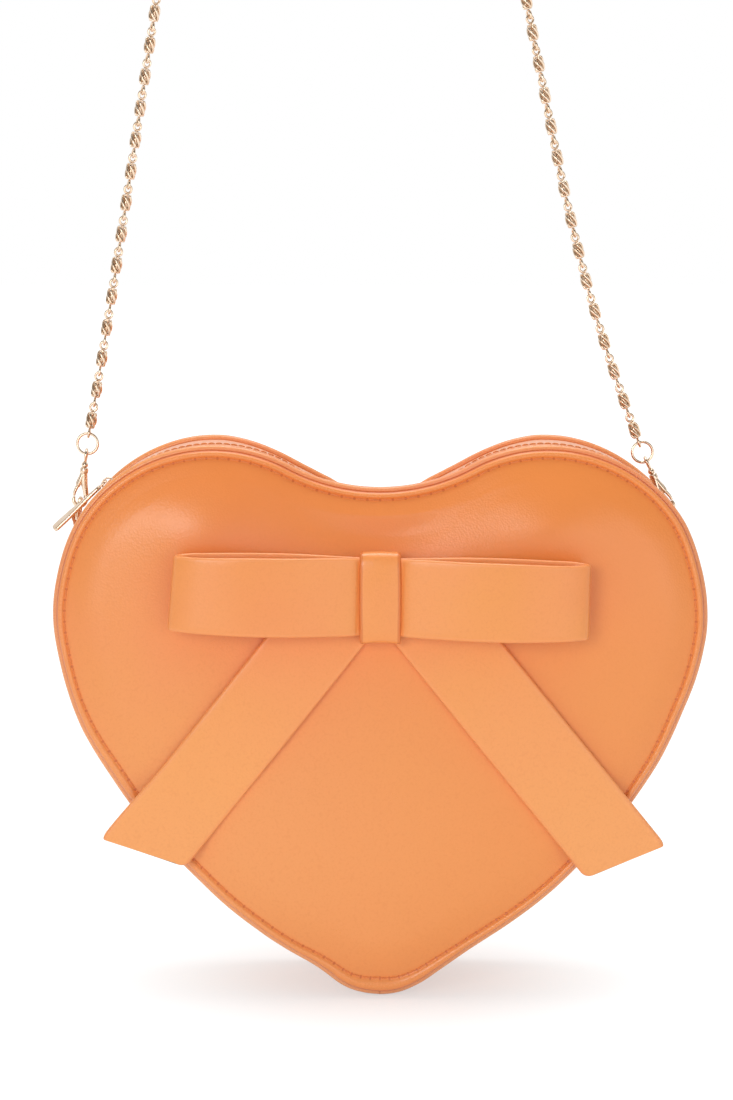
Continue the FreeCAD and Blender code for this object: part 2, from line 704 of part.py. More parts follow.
# Clasps, each in a frame of its own: hook wire's lowest point at the origin, strap along the height.
nose_x = hook_round
gate_middle = nose_x - (size.hook_wire - size.gate_thick) / 2 + size.gate_play
pin_z = shank_base + size.pin_height
nose_turn = math.radians(size.hook_start_angle + size.hook_sweep_angle)
nose_top = hook_round + (hook_round + size.hook_wire / 2) * math.sin(nose_turn)
nose_top = max(nose_top, hook_round + (hook_round - size.hook_wire / 2) * math.sin(nose_turn))
gate_foot = nose_top + size.gate_gap
gate_head = pin_z + size.pin_dia
for name, end in (("left", left_end), ("right", right_end)):
    flip = end.flip
    label = name + "_clasp_hook"
    start = size.hook_start_angle if flip > 0 else half_turn - size.hook_start_angle - size.hook_sweep_angle
    loop = solid(
        "Torus", label + "_loop",
        Placement(Vector(0, 0, hook_round), Rotation(axis_x, 90).multiply(Rotation(axis_z, start))),
        Radius1="sizes.hook_inner + sizes.hook_wire / 2", Radius2="sizes.hook_wire / 2",
        Angle3="sizes.hook_sweep_angle",
    )
    shank = solid(
        "Box", label + "_shank", at(-size.shank_width / 2, -size.shank_thick / 2, shank_base),
        Length="sizes.shank_width", Width="sizes.shank_thick", Height="sizes.shank_height",
    )
    yoke = solid(
        "Box", label + "_yoke", at(-size.yoke_width / 2, -size.shank_thick / 2, shank_top),
        Length="sizes.yoke_width", Width="sizes.shank_thick",
        Height="sizes.yoke_floor + sizes.yoke_room + sizes.yoke_roof",
    )
    whole = joined(label + "_whole", [loop, shank, yoke])
    room_half = size.yoke_width / 2 - size.yoke_wall
    room = solid(
        "Box", label + "_room", at(-room_half, -size.shank_thick, window_foot),
        Length="sizes.yoke_width - 2 * sizes.yoke_wall", Width="2 * sizes.shank_thick",
        Height="sizes.yoke_room",
    )
    post_hole = solid(
        "Cylinder", label + "_post_hole", at(0, 0, window_foot),
        Radius="sizes.post_dia / 2 + sizes.post_play",
        Height="sizes.yoke_room + sizes.yoke_roof + sizes.overrun",
    )
    slot_inner = gate_middle - size.gate_thick / 2 - size.gate_swing_room
    slot_x = slot_inner if flip > 0 else -slot_inner - size.overrun
    slot_half = size.gate_width / 2 + size.gate_play
    slot_top = gate_head + size.gate_play
    slot = solid(
        "Box", label + "_slot", at(slot_x, -slot_half, shank_base - size.shank_bite),
        Length="sizes.overrun", Width="sizes.gate_width + 2 * sizes.gate_play",
    )
    slot.Height = slot_top - shank_base + size.shank_bite
    pin_hole = solid(
        "Cylinder", label + "_pin_hole", at(flip * gate_middle, size.shank_thick, pin_z, axis_x, 90),
        Radius="sizes.pin_dia / 2", Height="2 * sizes.shank_thick",
    )
    hook = cut_from(label, whole, [room, post_hole, slot, pin_hole])
    place = Placement(hang + end.hook, Rotation(axis_y, end.turn))
    hook.Placement = place
    keep(hook, label)

    label = name + "_clasp_gate"
    blade = solid(
        "Box", label + "_blade",
        at(flip * gate_middle - size.gate_thick / 2, -size.gate_width / 2, gate_foot),
        Length="sizes.gate_thick", Width="sizes.gate_width",
    )
    blade.Height = gate_head - gate_foot
    gate_hole = solid(
        "Cylinder", label + "_hole", at(flip * gate_middle, size.gate_width, pin_z, axis_x, 90),
        Radius="sizes.pin_dia / 2 + sizes.pin_play", Height="2 * sizes.gate_width",
    )
    eye_boss = solid(
        "Cylinder", label + "_boss", at(flip * gate_middle, size.gate_width / 2, pin_z, axis_x, 90),
        Radius="sizes.pin_dia", Height="sizes.gate_width",
    )
    gate = cut_from(label, joined(label + "_whole", [blade, eye_boss]), [gate_hole])
    gate.Placement = place
    keep(gate, label)

    label = name + "_clasp_pin"
    pin = solid("Cylinder", label, at(0, 0, 0), Radius="sizes.pin_dia / 2", Height="sizes.shank_thick")
    pin_spot = at(flip * gate_middle, size.shank_thick / 2, pin_z, axis_x, 90)
    pin.Placement = place.multiply(pin_spot)
    keep(pin, label)

    label = name + "_clasp_eye"
    head_top = window_top - size.post_play
    post_foot = at(0, 0, head_top - size.post_head)
    post = solid("Cylinder", label + "_post", post_foot, Radius="sizes.post_dia / 2")
    post.Height = eye_centre - eye_round + size.eye_bite - head_top + size.post_head
    head = solid(
        "Cylinder", label + "_head", post_foot,
        Radius="sizes.post_head_dia / 2", Height="sizes.post_head",
    )
    eye_ring = solid(
        "Torus", label + "_ring", at(0, 0, eye_centre, axis_y, 90),
        Radius1="sizes.eye_inner + sizes.eye_wire / 2", Radius2="sizes.eye_wire / 2",
    )
    eye = joined(label, [post, head, eye_ring])
    eye.Placement = place
    keep(eye, label)

    label = name + "_chain_ring"
    ring = solid(
        "Torus", label, Placement(hang + end.ring, Rotation(axis_x, 90)),
        Radius1="sizes.ring_dia / 2", Radius2="sizes.ring_wire / 2",
    )
    keep(ring, label)

# Chain: equal links along the route, each a rounded body with an eye at both ends, a quarter turn apart.
link_round = size.link_eye / 2
eye_hang = link_round - size.link_wire / 2 - size.ring_wire / 2 - size.link_play
eye_overlap = 2 * link_round - size.link_wire - size.link_play
end_overlap = eye_overlap / 2 - eye_hang
link_count = round((route_length + 2 * end_overlap) / size.link_pitch)
link_pitch = (route_length + 2 * end_overlap) / link_count
eye_reach = link_pitch / 2 - eye_overlap / 2
body_reach = eye_reach - link_round + size.link_bite
body_profile = Part.Wire([
    Part.makeLine(Vector(0, 0, -body_reach), Vector(size.link_body_end / 2, 0, -body_reach)),
    Part.Arc(
        Vector(size.link_body_end / 2, 0, -body_reach),
        Vector(size.link_body_dia / 2, 0, 0),
        Vector(size.link_body_end / 2, 0, body_reach),
    ).toShape(),
    Part.makeLine(Vector(size.link_body_end / 2, 0, body_reach), Vector(0, 0, body_reach)),
    Part.makeLine(Vector(0, 0, body_reach), Vector(0, 0, -body_reach)),
])
link_body = Part.Face(body_profile).revolve(Vector(0, 0, 0), axis_z, 360)
low_eye = Part.makeTorus(link_round, size.link_wire / 2, Vector(0, 0, -eye_reach), axis_x)
high_eye = Part.makeTorus(link_round, size.link_wire / 2, Vector(0, 0, eye_reach), axis_y)
link = link_body.fuse([low_eye, high_eye])
links = []
for number in range(link_count):
    reach = (number + 0.5) * link_pitch - end_overlap
    place, way = route_at(route_pieces, reach)
    lean = math.degrees(math.atan2(way.x, way.z))
    roll = 90.0 * number / (link_count - 1)
    turned = link.copy()
    turned.Placement = Placement(place, Rotation(axis_y, lean).multiply(Rotation(axis_z, roll)))
    links.append(turned)
print("links", link_count, "pitch", round(link_pitch, 3))
chain = doc.addObject("Part::Feature", "chain_links")
chain.Shape = Part.makeCompound(links)
chain.Placement = Placement(hang, Rotation())
keep(chain, "chain_links")

# Bow: tails against the panel, a flattened loop pinched in the middle, and a knot wrapped round it.
panel_face = half_depth + size.panel_edge + size.crown_height
tail_front = -panel_face - size.tail_thick
tail_turn = math.radians(size.tail_angle)
for label, flip in (("bow_tail_left", -1), ("bow_tail_right", 1)):
    along = Vector(math.cos(tail_turn), -math.sin(tail_turn))
    across = Vector(math.sin(tail_turn), math.cos(tail_turn))
    corners = []
    for reach, wide in (
        (size.tail_start, -size.tail_drop),
        (size.tail_inner_reach, -size.tail_drop),
        (size.tail_outer_reach, size.tail_width - size.tail_drop),
        (size.tail_start, size.tail_width - size.tail_drop),
    ):
        corners.append(mirrored(rivet_centre + along * reach + across * wide, flip))
    outline = [line(a, b) for a, b in zip(corners, corners[1:] + corners[:1])]
    keep(plate(label, outline, tail_front, "sizes.tail_thick"), label)

loop_back = tail_front - size.knot_back


def loop_outline(inward):
    """Plan of the bow's loop, moved in by inward: straight rear, folded ends and a bulge on each side."""
    half = size.bow_width / 2 - inward
    end = half - size.bow_end_round + inward
    back = loop_back - inward
    pinch = loop_back - size.bow_pinch + inward
    bulge = loop_back - size.bow_bulge + inward
    fold = loop_back - size.bow_bulge * bow_end_share + inward
    middle = (back + fold) / 2
    knot = size.knot_width / 2
    made = [Part.LineSegment(Vector(-end, back), Vector(end, back))]
    for flip in (1, -1):
        made.append(Part.Arc(Vector(flip * end, back), Vector(flip * half, middle), Vector(flip * end, fold)))
        crest = Vector(flip * half * bow_bulge_share, bulge)
        made.append(Part.Arc(Vector(flip * end, fold), crest, Vector(flip * knot, pinch)))
    made.append(Part.LineSegment(Vector(-knot, pinch), Vector(knot, pinch)))
    return Part.Wire(Part.__sortEdges__([piece.toShape() for piece in made]))


loop_face = Part.Face(loop_outline(0.0)).cut(Part.Face(loop_outline(size.bow_leather)))
bow_loop = doc.addObject("Part::Feature", "bow_loop")
bow_loop.Shape = loop_face.extrude(Vector(0, 0, size.bow_band)).Solids[0]
bow_foot = size.bow_height - size.bow_band / 2
bow_loop.Placement = Placement(hang + Vector(0, 0, bow_foot), Rotation())
keep(bow_loop, "bow_loop")

knot_depth = size.knot_back + size.bow_pinch + size.knot_play + size.knot_front
knot_block = solid(
    "Box", "knot_block",
    at(-size.knot_width / 2, tail_front - knot_depth, size.bow_height - size.knot_height / 2),
    Length="sizes.knot_width", Height="sizes.knot_height",
    Width="sizes.knot_back + sizes.bow_pinch + sizes.knot_play + sizes.knot_front",
)
knot_room = solid(
    "Box", "knot_room",
    at(-size.knot_width, loop_back - size.bow_pinch - size.knot_play, bow_foot - size.knot_play),
    Length="2 * sizes.knot_width", Height="sizes.bow_band + 2 * sizes.knot_play",
    Width="sizes.bow_pinch + sizes.knot_play",
)
knot = cut_from("bow_knot_sharp", knot_block, [knot_room])
doc.recompute()
knot_edges = []
for number, edge in enumerate(knot.Shape.Edges, start=1):
    box = edge.BoundBox
    along_x = box.XLength > size.knot_width / 2
    outside = abs(box.Center.z - size.bow_height) > size.knot_height / 2 - size.knot_play
    if along_x and outside and box.Center.y < tail_front - knot_depth / 2:
        limit = min(size.knot_round, (size.knot_height - size.bow_band) / 2 - size.knot_play)
        knot_edges.append((number, limit, limit))
knot_done = doc.addObject("Part::Fillet", "bow_knot")
knot_done.Base = knot
knot_done.Edges = knot_edges
knot_done.Placement = Placement(hang, Rotation())
keep(knot_done, "bow_knot")

# Rivet that holds the bow: shank through panel, padding and board, washer head inside.
shank_length = "sizes.tail_thick + sizes.panel_edge + sizes.crown_height + sizes.board + sizes.lining"
rivet_shank = solid(
    "Cylinder", "rivet_shank", at(0, -half_depth + size.board + size.lining, size.bow_height, axis_x, 90),
    Radius="sizes.bow_rivet_dia / 2", Height=shank_length,
)
rivet_head = solid(
    "Cylinder", "rivet_head", at(0, -half_depth + size.board + size.lining, size.bow_height, axis_x, 90),
    Radius="sizes.bow_rivet_head_dia / 2", Height="sizes.lining",
)
rivet = joined("bow_rivet", [rivet_shank, rivet_head])
rivet.Placement = Placement(hang, Rotation())
keep(rivet, "bow_rivet")

# Slip pocket sewn to the rear lining, open at the top.
pocket_depth = size.pocket_cloth + size.pocket_room
pocket_face = half_depth - size.board - size.lining - pocket_depth
pocket_block = solid(
    "Box", "pocket_block", at(-size.pocket_width / 2, pocket_face, size.pocket_foot),
    Length="sizes.pocket_width", Width="sizes.pocket_cloth + sizes.pocket_room",
    Height="sizes.pocket_height",
)
pocket_room = solid(
    "Box", "pocket_space",
    at(-size.pocket_width / 2 + size.pocket_seam, pocket_face + size.pocket_cloth,
       size.pocket_foot + size.pocket_seam),
    Length="sizes.pocket_width - 2 * sizes.pocket_seam", Width="sizes.pocket_room + sizes.overrun",
    Height="sizes.pocket_height",
)
pocket = cut_from("inner_pocket", pocket_block, [pocket_room])
pocket.Placement = Placement(hang, Rotation())
keep(pocket, "inner_pocket")

doc.recompute()
for piece in doc.Objects:
    if "Invalid" in piece.State or "Error" in piece.State:
        raise RuntimeError("%s failed: %s" % (piece.Label, piece.State))
for piece in nodes:
    shape = piece.Shape
    if shape.isNull() or not shape.isValid() or not shape.Solids:
        raise RuntimeError("%s has no valid solid" % piece.Label)
    if min(one.Volume for one in shape.Solids) <= 0:
        raise RuntimeError("%s is inside out" % piece.Label)
os.makedirs("parts", exist_ok=True)
for piece in nodes:
    piece.Shape.exportStep("parts/%s.step" % piece.Label)
for name, end in (("left", left_end), ("right", right_end)):
    for key in ("bar", "hook", "catch", "ring", "chain"):
        spot = hang + getattr(end, key)
        print(name, key, [round(number, 3) for number in spot])
for piece in nodes:
    box = piece.Shape.BoundBox
    print(
        piece.Label, len(piece.Shape.Solids), "solids", round(piece.Shape.Volume, 1),
        "x", round(box.XMin, 2), round(box.XMax, 2),
        "y", round(box.YMin, 2), round(box.YMax, 2),
        "z", round(box.ZMin, 2), round(box.ZMax, 2),
    )
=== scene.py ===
import math

import bpy
import numpy as np
from mathutils import Matrix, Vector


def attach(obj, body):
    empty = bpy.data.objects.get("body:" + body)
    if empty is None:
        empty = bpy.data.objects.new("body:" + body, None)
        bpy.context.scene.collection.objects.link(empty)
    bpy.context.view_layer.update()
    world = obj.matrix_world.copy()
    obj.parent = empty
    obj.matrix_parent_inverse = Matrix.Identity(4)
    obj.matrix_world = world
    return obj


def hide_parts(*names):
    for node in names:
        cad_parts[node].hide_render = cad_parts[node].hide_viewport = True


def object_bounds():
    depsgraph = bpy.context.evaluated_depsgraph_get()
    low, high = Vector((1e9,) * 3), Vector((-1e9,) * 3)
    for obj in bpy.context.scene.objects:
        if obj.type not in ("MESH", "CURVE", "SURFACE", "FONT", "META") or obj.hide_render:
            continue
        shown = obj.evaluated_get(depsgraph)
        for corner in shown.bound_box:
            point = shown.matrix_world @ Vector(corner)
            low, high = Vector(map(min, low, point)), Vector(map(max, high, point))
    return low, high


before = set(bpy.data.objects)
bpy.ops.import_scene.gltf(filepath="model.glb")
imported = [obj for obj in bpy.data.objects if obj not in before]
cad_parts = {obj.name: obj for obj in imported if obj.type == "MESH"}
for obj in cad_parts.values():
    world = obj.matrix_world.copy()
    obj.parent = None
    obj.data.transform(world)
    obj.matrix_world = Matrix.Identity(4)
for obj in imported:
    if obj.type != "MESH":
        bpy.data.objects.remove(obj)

bl_info = {
    "name": "Heart purse dresser",
    "version": (1, 0, 0),
    "blender": (4, 5, 0),
    "location": "View3D > Sidebar > Purse",
    "description": "Dresses the heart purse in leather, thread, lining and gold metal, and sets its stage",
    "category": "Object",
}

SOLID_BOX = [list(corner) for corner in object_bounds()]
AXIS_X, AXIS_Y, AXIS_Z = np.eye(3)
SIDES = (("right", 1), ("left", -1))
FACES = (("front", -1), ("back", 1))


def shade(red, green, blue):
    """Linear colour of a display colour given from 0 to 255."""
    given = np.array([red, green, blue]) / 255
    linear = np.where(given < 0.04045, given / 12.92, ((given + 0.055) / 1.055) ** 2.4)
    return tuple(float(value) for value in linear)


def length(name, description, default):
    return bpy.props.FloatProperty(
        name=name, description=description, default=default, precision=5, unit="LENGTH", subtype="DISTANCE")


def angle(name, description, degrees):
    return bpy.props.FloatProperty(
        name=name, description=description, default=math.radians(degrees), unit="ROTATION", subtype="ANGLE")


def colour(name, description, default):
    return bpy.props.FloatVectorProperty(
        name=name, description=description, default=default, size=3, min=0.0, max=1.0, subtype="COLOR")


def number(name, description, default):
    return bpy.props.FloatProperty(name=name, description=description, default=default)


def count(name, description, default):
    return bpy.props.IntProperty(name=name, description=description, default=default, min=2)


class HeartSizes(bpy.types.PropertyGroup):
    """Outline of the heart at its piping and the depths of its walls."""
    lobe_radius: length("Lobe radius", "Radius of the two round tops", 0.0542)
    lobe_spread: length("Lobe spread", "Distance of each lobe's centre from the middle", 0.0558)
    lobe_height: length("Lobe height", "Height of the lobe centres above the tip", 0.13175)
    valley_radius: length("Valley radius", "Radius of the dip between the lobes", 0.0644)
    side_radius: length("Side radius", "Radius of the long sides", 0.15375)
    shoulder: angle("Shoulder", "Turn below level where lobe and side meet", 11.65)
    flank: angle("Flank", "Slope of the straight stretch beside the tip", 34.73)
    tip_radius: length("Tip radius", "Rounding of the tip", 0.02924)
    tip_drop: length("Tip drop", "Depth of the tip below the strap's carrying point", 0.409291)
    front_depth: length("Front depth", "Depth of the front seam, towards the viewer", -0.0285)
    rear_depth: length("Rear depth", "Depth of the rear seam", 0.0255)
    piping_radius: length("Piping radius", "Half the thickness of the piping", 0.0013)
    leather: length("Leather", "Thickness of the gusset's leather", 0.0016)
    gusset_inset: length("Gusset inset", "How far the gusset lies inside the outline", 0.0016)
    strip_end: angle("Strip end", "Lean on the lobes where the top strips end", 50.0)
    rear_sag: length("Rear sag", "How far the rear of the valley sinks", 0.0078)
    tab_dent: length("Tab dent", "How far the right ring tab is drawn into the gusset", 0.0042)
    side_swell: length("Side swell", "Rise of the gusset beside that dent", 0.0015)
    steps: count("Steps", "Points round the heart", 720)


class SewingSizes(bpy.types.PropertyGroup):
    """Stitch rows and the zip, whose sizes count from the depth where its sides meet."""
    stitches: count("Stitches", "Stitches round each panel", 162)
    strip_stitches: count("Strip stitches", "Stitches along each top strip", 78)
    thread: length("Thread", "Thickness of the thread", 0.00068)
    row_rise: length("Row rise", "Rise of the panels at their stitch rows", 0.00218)
    zip_depth: length("Zip depth", "Depth of the zip's middle", -0.007)
    mouth: length("Mouth", "Half the gap between the top strips", 0.0038)
    strip_row: length("Strip row", "Zip's middle to each strip's stitch row", 0.0062)
    tape_inner: length("Tape inner", "Zip's middle to the near edge of each tape", 0.0022)
    tape_outer: length("Tape outer", "Zip's middle to the far edge of each tape", 0.009)
    coil_apart: length("Coil apart", "Zip's middle to each coil", 0.0015)
    coil_end: angle("Coil end", "Lean on the lobes where the coils end", 47.4)
    coil_turns: count("Coil turns", "Turns of each coil", 236)
    slider_lean: angle("Slider lean", "Lean of the closed slider on the left lobe", 42.6)


class BowSizes(bpy.types.PropertyGroup):
    """Bow of flat leather bands."""
    height: length("Height", "Height of the knot above the tip", 0.137)
    half_width: length("Half width", "Half the width of the loop", 0.069)
    band: length("Band", "Width of the leather band", 0.0258)
    leather: length("Leather", "Thickness of the band", 0.0018)
    tilt: angle("Tilt", "Clockwise lean of the loop", 1.3)
    knot_width: length("Knot width", "Width of the wrapped knot", 0.0138)
    tail_turn: angle("Tail turn", "Slope of the tails", 51.4)
    tail_start: length("Tail start", "Start of the tails, from the knot's middle", 0.0115)
    tail_inner: length("Tail inner reach", "Reach of the inner corner from the knot", 0.1131)
    tail_outer: length("Tail outer reach", "Reach of the outer corner from the knot", 0.1220)
    tail_width: length("Tail width", "Width of the left tail", 0.0272)
    tail_drop: length("Tail drop", "Part of a tail's width below its line", 0.0062)
    tail_leather: length("Tail leather", "Thickness of the tails", 0.0020)
    tail_depth: length("Tail depth", "Depth of the tails, towards the viewer", -0.0382)
    rounding: length("Rounding", "Rounding of the tails' ends", 0.0032)
    right_longer: length("Right longer", "Extra reach of the right tail", 0.0052)
    right_wider: length("Right wider", "Extra width of the right tail", 0.0008)
    right_lower: length("Right lower", "Extra drop of the right tail", 0.0002)
    left_flare: length("Left flare", "Extra width of the left tail at its end", 0.0011)


class StrapSizes(bpy.types.PropertyGroup):
    """Chain of scroll links, and the clasps and rings at its ends."""
    links: count("Links", "Links between the two rings", 49)
    lap: length("Lap", "How far the chain reaches past its line at each end", 0.00065)
    eye_radius: length("Eye radius", "Radius of the link eyes", 0.00118)
    wire: length("Wire", "Thickness of the link wire", 0.00082)
    bead: length("Bead", "Half the length of a link's twisted strands", 0.0025)
    bead_radius: length("Bead radius", "Radius of the twisted strands at the middle", 0.0015)
    bar_reach: length("Bar reach", "Distance of each ring's bar from the middle", 0.103085)
    bar_height: length("Bar height", "Height of the ring bars, below the carrying point", -0.250241)
    left_lean: angle("Left lean", "Inward lean of the left clasp", 7.8)
    right_lean: angle("Right lean", "Inward lean of the right clasp", 25.2)
    left_shorter: length("Left shorter", "How much shorter the left clasp is", 0.0008)
    hook_height: length("Hook height", "Ring's bar to the middle of the hook", 0.0052)
    eye_height: length("Eye height", "Middle of the hook to the swivel's eye", 0.0172)
    ring_height: length("Ring height", "Swivel's eye to the middle of the jump ring", 0.004)
    ring_radius: length("Ring radius", "Radius of the jump rings", 0.0035)
    ring_wire: length("Ring wire", "Half the thickness of the jump rings", 0.00048)
    d_ring_wire: length("D ring wire", "Half the thickness of the D rings", 0.00068)


class Finishes(bpy.types.PropertyGroup):
    """Colours of the materials."""
    front: colour("Front leather", "Padded front", shade(244, 148, 78))
    bow: colour("Bow leather", "Bow, knot and tails", shade(247, 154, 81))
    # Paler than the front leather: painted light, standing in for the strong light from above on the top
    # strips.
    gusset: colour("Gusset leather", "Sides, strips and piping", shade(246, 160, 100))
    thread: colour("Thread", "Sewing thread", shade(240, 142, 78))
    # Colour of the painted shade in the needle holes.
    hole_shade: colour("Needle holes", "Dark of the needle holes", shade(204, 92, 40))
    lining: colour("Lining", "Cloth inside", shade(231, 206, 176))
    tape: colour("Zip tape", "Woven tape", shade(206, 108, 52))
    gold: colour("Gold", "Pale gold plating", shade(243, 221, 198))
    board: colour("Board", "Stiffening board", shade(184, 160, 124))


class StageLook(bpy.types.PropertyGroup):
    """Camera and light."""
    elevation: angle("Elevation", "Camera's height above level", 6.09)
    distance: length("Distance", "Camera to the aim point", 1.1)
    aim: bpy.props.FloatVectorProperty(
        name="Aim", description="Point that the camera looks at", default=(-0.00451, -0.0297, -0.2582),
        size=3, unit="LENGTH", subtype="XYZ")
    lens: number("Lens", "Focal length in millimetres for a sensor 24 mm high", 72.05)
    ambient: number("Ambient", "Strength of the even light", 0.46)
    key: number("Key", "Power of the key lamp, in watts", 5.7)


# Curves and grids.

def through(keys, samples):
    """Smooth line through key points: cubics whose end slopes are half the chord of the neighbours."""
    keys = np.asarray(keys, dtype=float)
    return cubic(np.concatenate([2 * keys[:1] - keys[1:2], keys, 2 * keys[-1:] - keys[-2:-1]]), samples)


def through_loop(keys, samples):
    """Smooth closed line through key points, by the same cubics; its last sample is just before the first."""
    keys = np.asarray(keys, dtype=float)
    return cubic(np.concatenate([keys[-1:], keys, keys[:2]]), samples + 1)[:-1]


def cubic(padded, samples):
    """Samples of the cubics between the inner points of a padded list."""
    pieces = len(padded) - 3
    spot = np.linspace(0, pieces, samples)
    first = np.minimum(spot.astype(int), pieces - 1)
    t = (spot - first)[:, None]
    a, b, c, d = (padded[first + step] for step in range(4))
    square = 2 * a - 5 * b + 4 * c - d
    cube = 3 * b - 3 * c + d - a
    return 0.5 * (2 * b + (c - a) * t + square * t ** 2 + cube * t ** 3)


def ease(values):
    """Smooth step from 0 to 1."""
    t = np.clip(values, 0, 1)
    return t * t * (3 - 2 * t)


def unit(vectors):
    """Vectors made one long."""
    return vectors / np.maximum(np.linalg.norm(vectors, axis=-1, keepdims=True), 1e-12)


def loop_way(ring):
    """Directions along a closed line."""
    return unit(np.roll(ring, -1, axis=0) - np.roll(ring, 1, axis=0))


def spokes(steps):
    """Cosines and sines of even turns round a circle."""
    turn = np.arange(steps) * (2 * math.pi / steps)
    return np.cos(turn), np.sin(turn)


def table(keys):
    """Values at every millimetre along a side, through key pairs and smoothed over a few millimetres."""
    keys = np.asarray(keys, dtype=float)
    grid = np.arange(-8.0, 341.0)
    window = np.hanning(11)
    return np.convolve(np.interp(grid, keys[:, 0], keys[:, 1]), window / window.sum(), mode="same")[8:-8]


# Unevenness of the sewn rim: length from the valley and outward move, in millimetres.
RIM_LEFT = (
    (100, 0.0), (112, -0.25), (120, -0.66), (128, -1.0), (134, -1.02), (144, -0.6), (156, -0.05), (168, 0.45),
    (178, 0.78), (186, 0.78), (194, 0.25), (204, -0.48), (212, -0.72), (228, -0.95), (244, -1.15),
    (252, -0.95), (262, -0.2), (272, 0.38), (282, 0.68), (290, 0.38), (299, -0.5), (305, -0.5), (313, 0.3),
    (330, 0.45),
)
RIM_RIGHT = (
    (100, 0.0), (113, -0.1), (120, -0.56), (127, -0.92), (134, -0.85), (144, -0.42), (152, 0.15), (162, 0.5),
    (170, 0.45), (180, -0.02), (198, 0.06), (210, -0.38), (228, -0.6), (244, -0.5), (254, -0.18), (276, 0.12),
    (290, -0.28), (306, -0.12), (313, 0.05), (318, 0.45), (330, 0.5),
)
# Distance of the stitch row from the rim, by length from the valley, in millimetres.
ROW_LEFT = (
    (0, 4.1), (130, 4.2), (175, 4.1), (200, 5.0), (225, 5.0), (250, 4.5), (290, 4.4), (306, 5.2), (326, 6.7),
)
ROW_RIGHT = ((0, 4.1), (130, 4.3), (200, 4.2), (255, 4.1), (292, 4.4), (306, 5.1), (326, 6.7))


class Outline:
    """Heart at its piping: arcs of valley, lobe, side and tip that meet tangent, with a straight flank.

    A place on it is a length from the valley's lowest point, positive to the right, negative to the left."""

    def __init__(self, heart):
        lobe = np.array([heart.lobe_spread, heart.lobe_height])
        rise = math.sqrt((heart.lobe_radius + heart.valley_radius) ** 2 - heart.lobe_spread ** 2)
        valley = np.array([0.0, heart.lobe_height + rise])
        down = np.array([math.cos(heart.shoulder), -math.sin(heart.shoulder)])
        side = lobe - down * (heart.side_radius - heart.lobe_radius)
        flank_turn = heart.flank - math.pi / 2
        flank = np.array([math.cos(flank_turn), math.sin(flank_turn)])
        tip = np.array([0.0, (flank @ side + heart.side_radius - heart.tip_radius) / flank[1]])
        valley_turn = math.atan2(lobe[1] - valley[1], lobe[0] - valley[0])
        arcs = (
            (valley, heart.valley_radius, -math.pi / 2, valley_turn, -1.0),
            (lobe, heart.lobe_radius, valley_turn + math.pi, -heart.shoulder, 1.0),
            (side, heart.side_radius, -heart.shoulder, flank_turn, 1.0),
            (tip, heart.tip_radius, flank_turn, -math.pi / 2, 1.0),
        )
        places, normals = [], []
        for centre, radius, start, stop, sign in arcs:
            turns = np.linspace(start, stop, 600)
            spoke = np.stack([np.cos(turns), np.sin(turns)], axis=1)
            places.append(centre + radius * spoke)
            normals.append(sign * spoke)
        self.places = np.concatenate(places)
        self.normals = np.concatenate(normals)
        gaps = np.linalg.norm(np.diff(self.places, axis=0), axis=1)
        self.lengths = np.concatenate([[0.0], np.cumsum(gaps)])
        self.half = self.lengths[-1]
        self.lobe = lobe - [0.0, heart.tip_drop]
        self.middle = self.lobe * [0.0, 1.0]
        self.drop = heart.tip_drop
        self.drift = table(RIM_LEFT), table(RIM_RIGHT)
        self.rows = table(ROW_LEFT), table(ROW_RIGHT)
        self.lobe_radius = heart.lobe_radius
        self.lean_zero = (heart.valley_radius + heart.lobe_radius) * (valley_turn + math.pi / 2)
        self.strip_end = self.at_lean(heart.strip_end)

    def at_lean(self, lean):
        """Length at which the right lobe leans outward by lean from the vertical."""
        return self.lean_zero + self.lobe_radius * lean

    def at(self, reach):
        """Places and outward normals, in x and height, at signed lengths."""
        reach = np.asarray(reach, dtype=float)
        run = np.abs(reach)
        place, normal = (
            np.stack([np.interp(run, self.lengths, known[:, k]) for k in (0, 1)], axis=-1)
            for known in (self.places, self.normals))
        place += normal * (self.looked_up(reach, self.drift) / 1000)[..., None]
        side = np.where(reach < 0, -1.0, 1.0)
        place[..., 0] *= side
        normal[..., 0] *= side
        place[..., 1] -= self.drop
        return place, unit(normal)

    def looked_up(self, reach, tables):
        """Value of a pair of tables, left and right, at signed lengths, in millimetres."""
        grid = np.arange(len(tables[0]))
        run = np.abs(reach) * 1000
        return np.where(reach < 0, np.interp(run, grid, tables[0]), np.interp(run, grid, tables[1]))

    def round(self, steps):
        """Even signed lengths once round the heart, from the valley to the right."""
        spots = np.arange(steps) * (2 * self.half / steps)
        return np.where(spots > self.half, spots - 2 * self.half, spots)


def upright(flat, depth):
    """Points in space of x and height pairs at a depth."""
    flat = np.asarray(flat)
    depth = np.broadcast_to(depth, flat.shape[:-1])
    return np.stack([flat[..., 0], depth, flat[..., 1]], axis=-1)


# Share of the rear valley's sag, by distance from the middle in millimetres.
SAG_ACROSS = (
    (0, 1.0), (4, 0.95), (8, 0.85), (11, 0.76), (14, 0.60), (17, 0.46), (20, 0.38), (24, 0.30), (28, 0.26),
    (34, 0.24), (38, 0.21), (44, 0.14), (54, 0.03), (64, 0.0),
)
DENT_LEAN = math.radians(58)


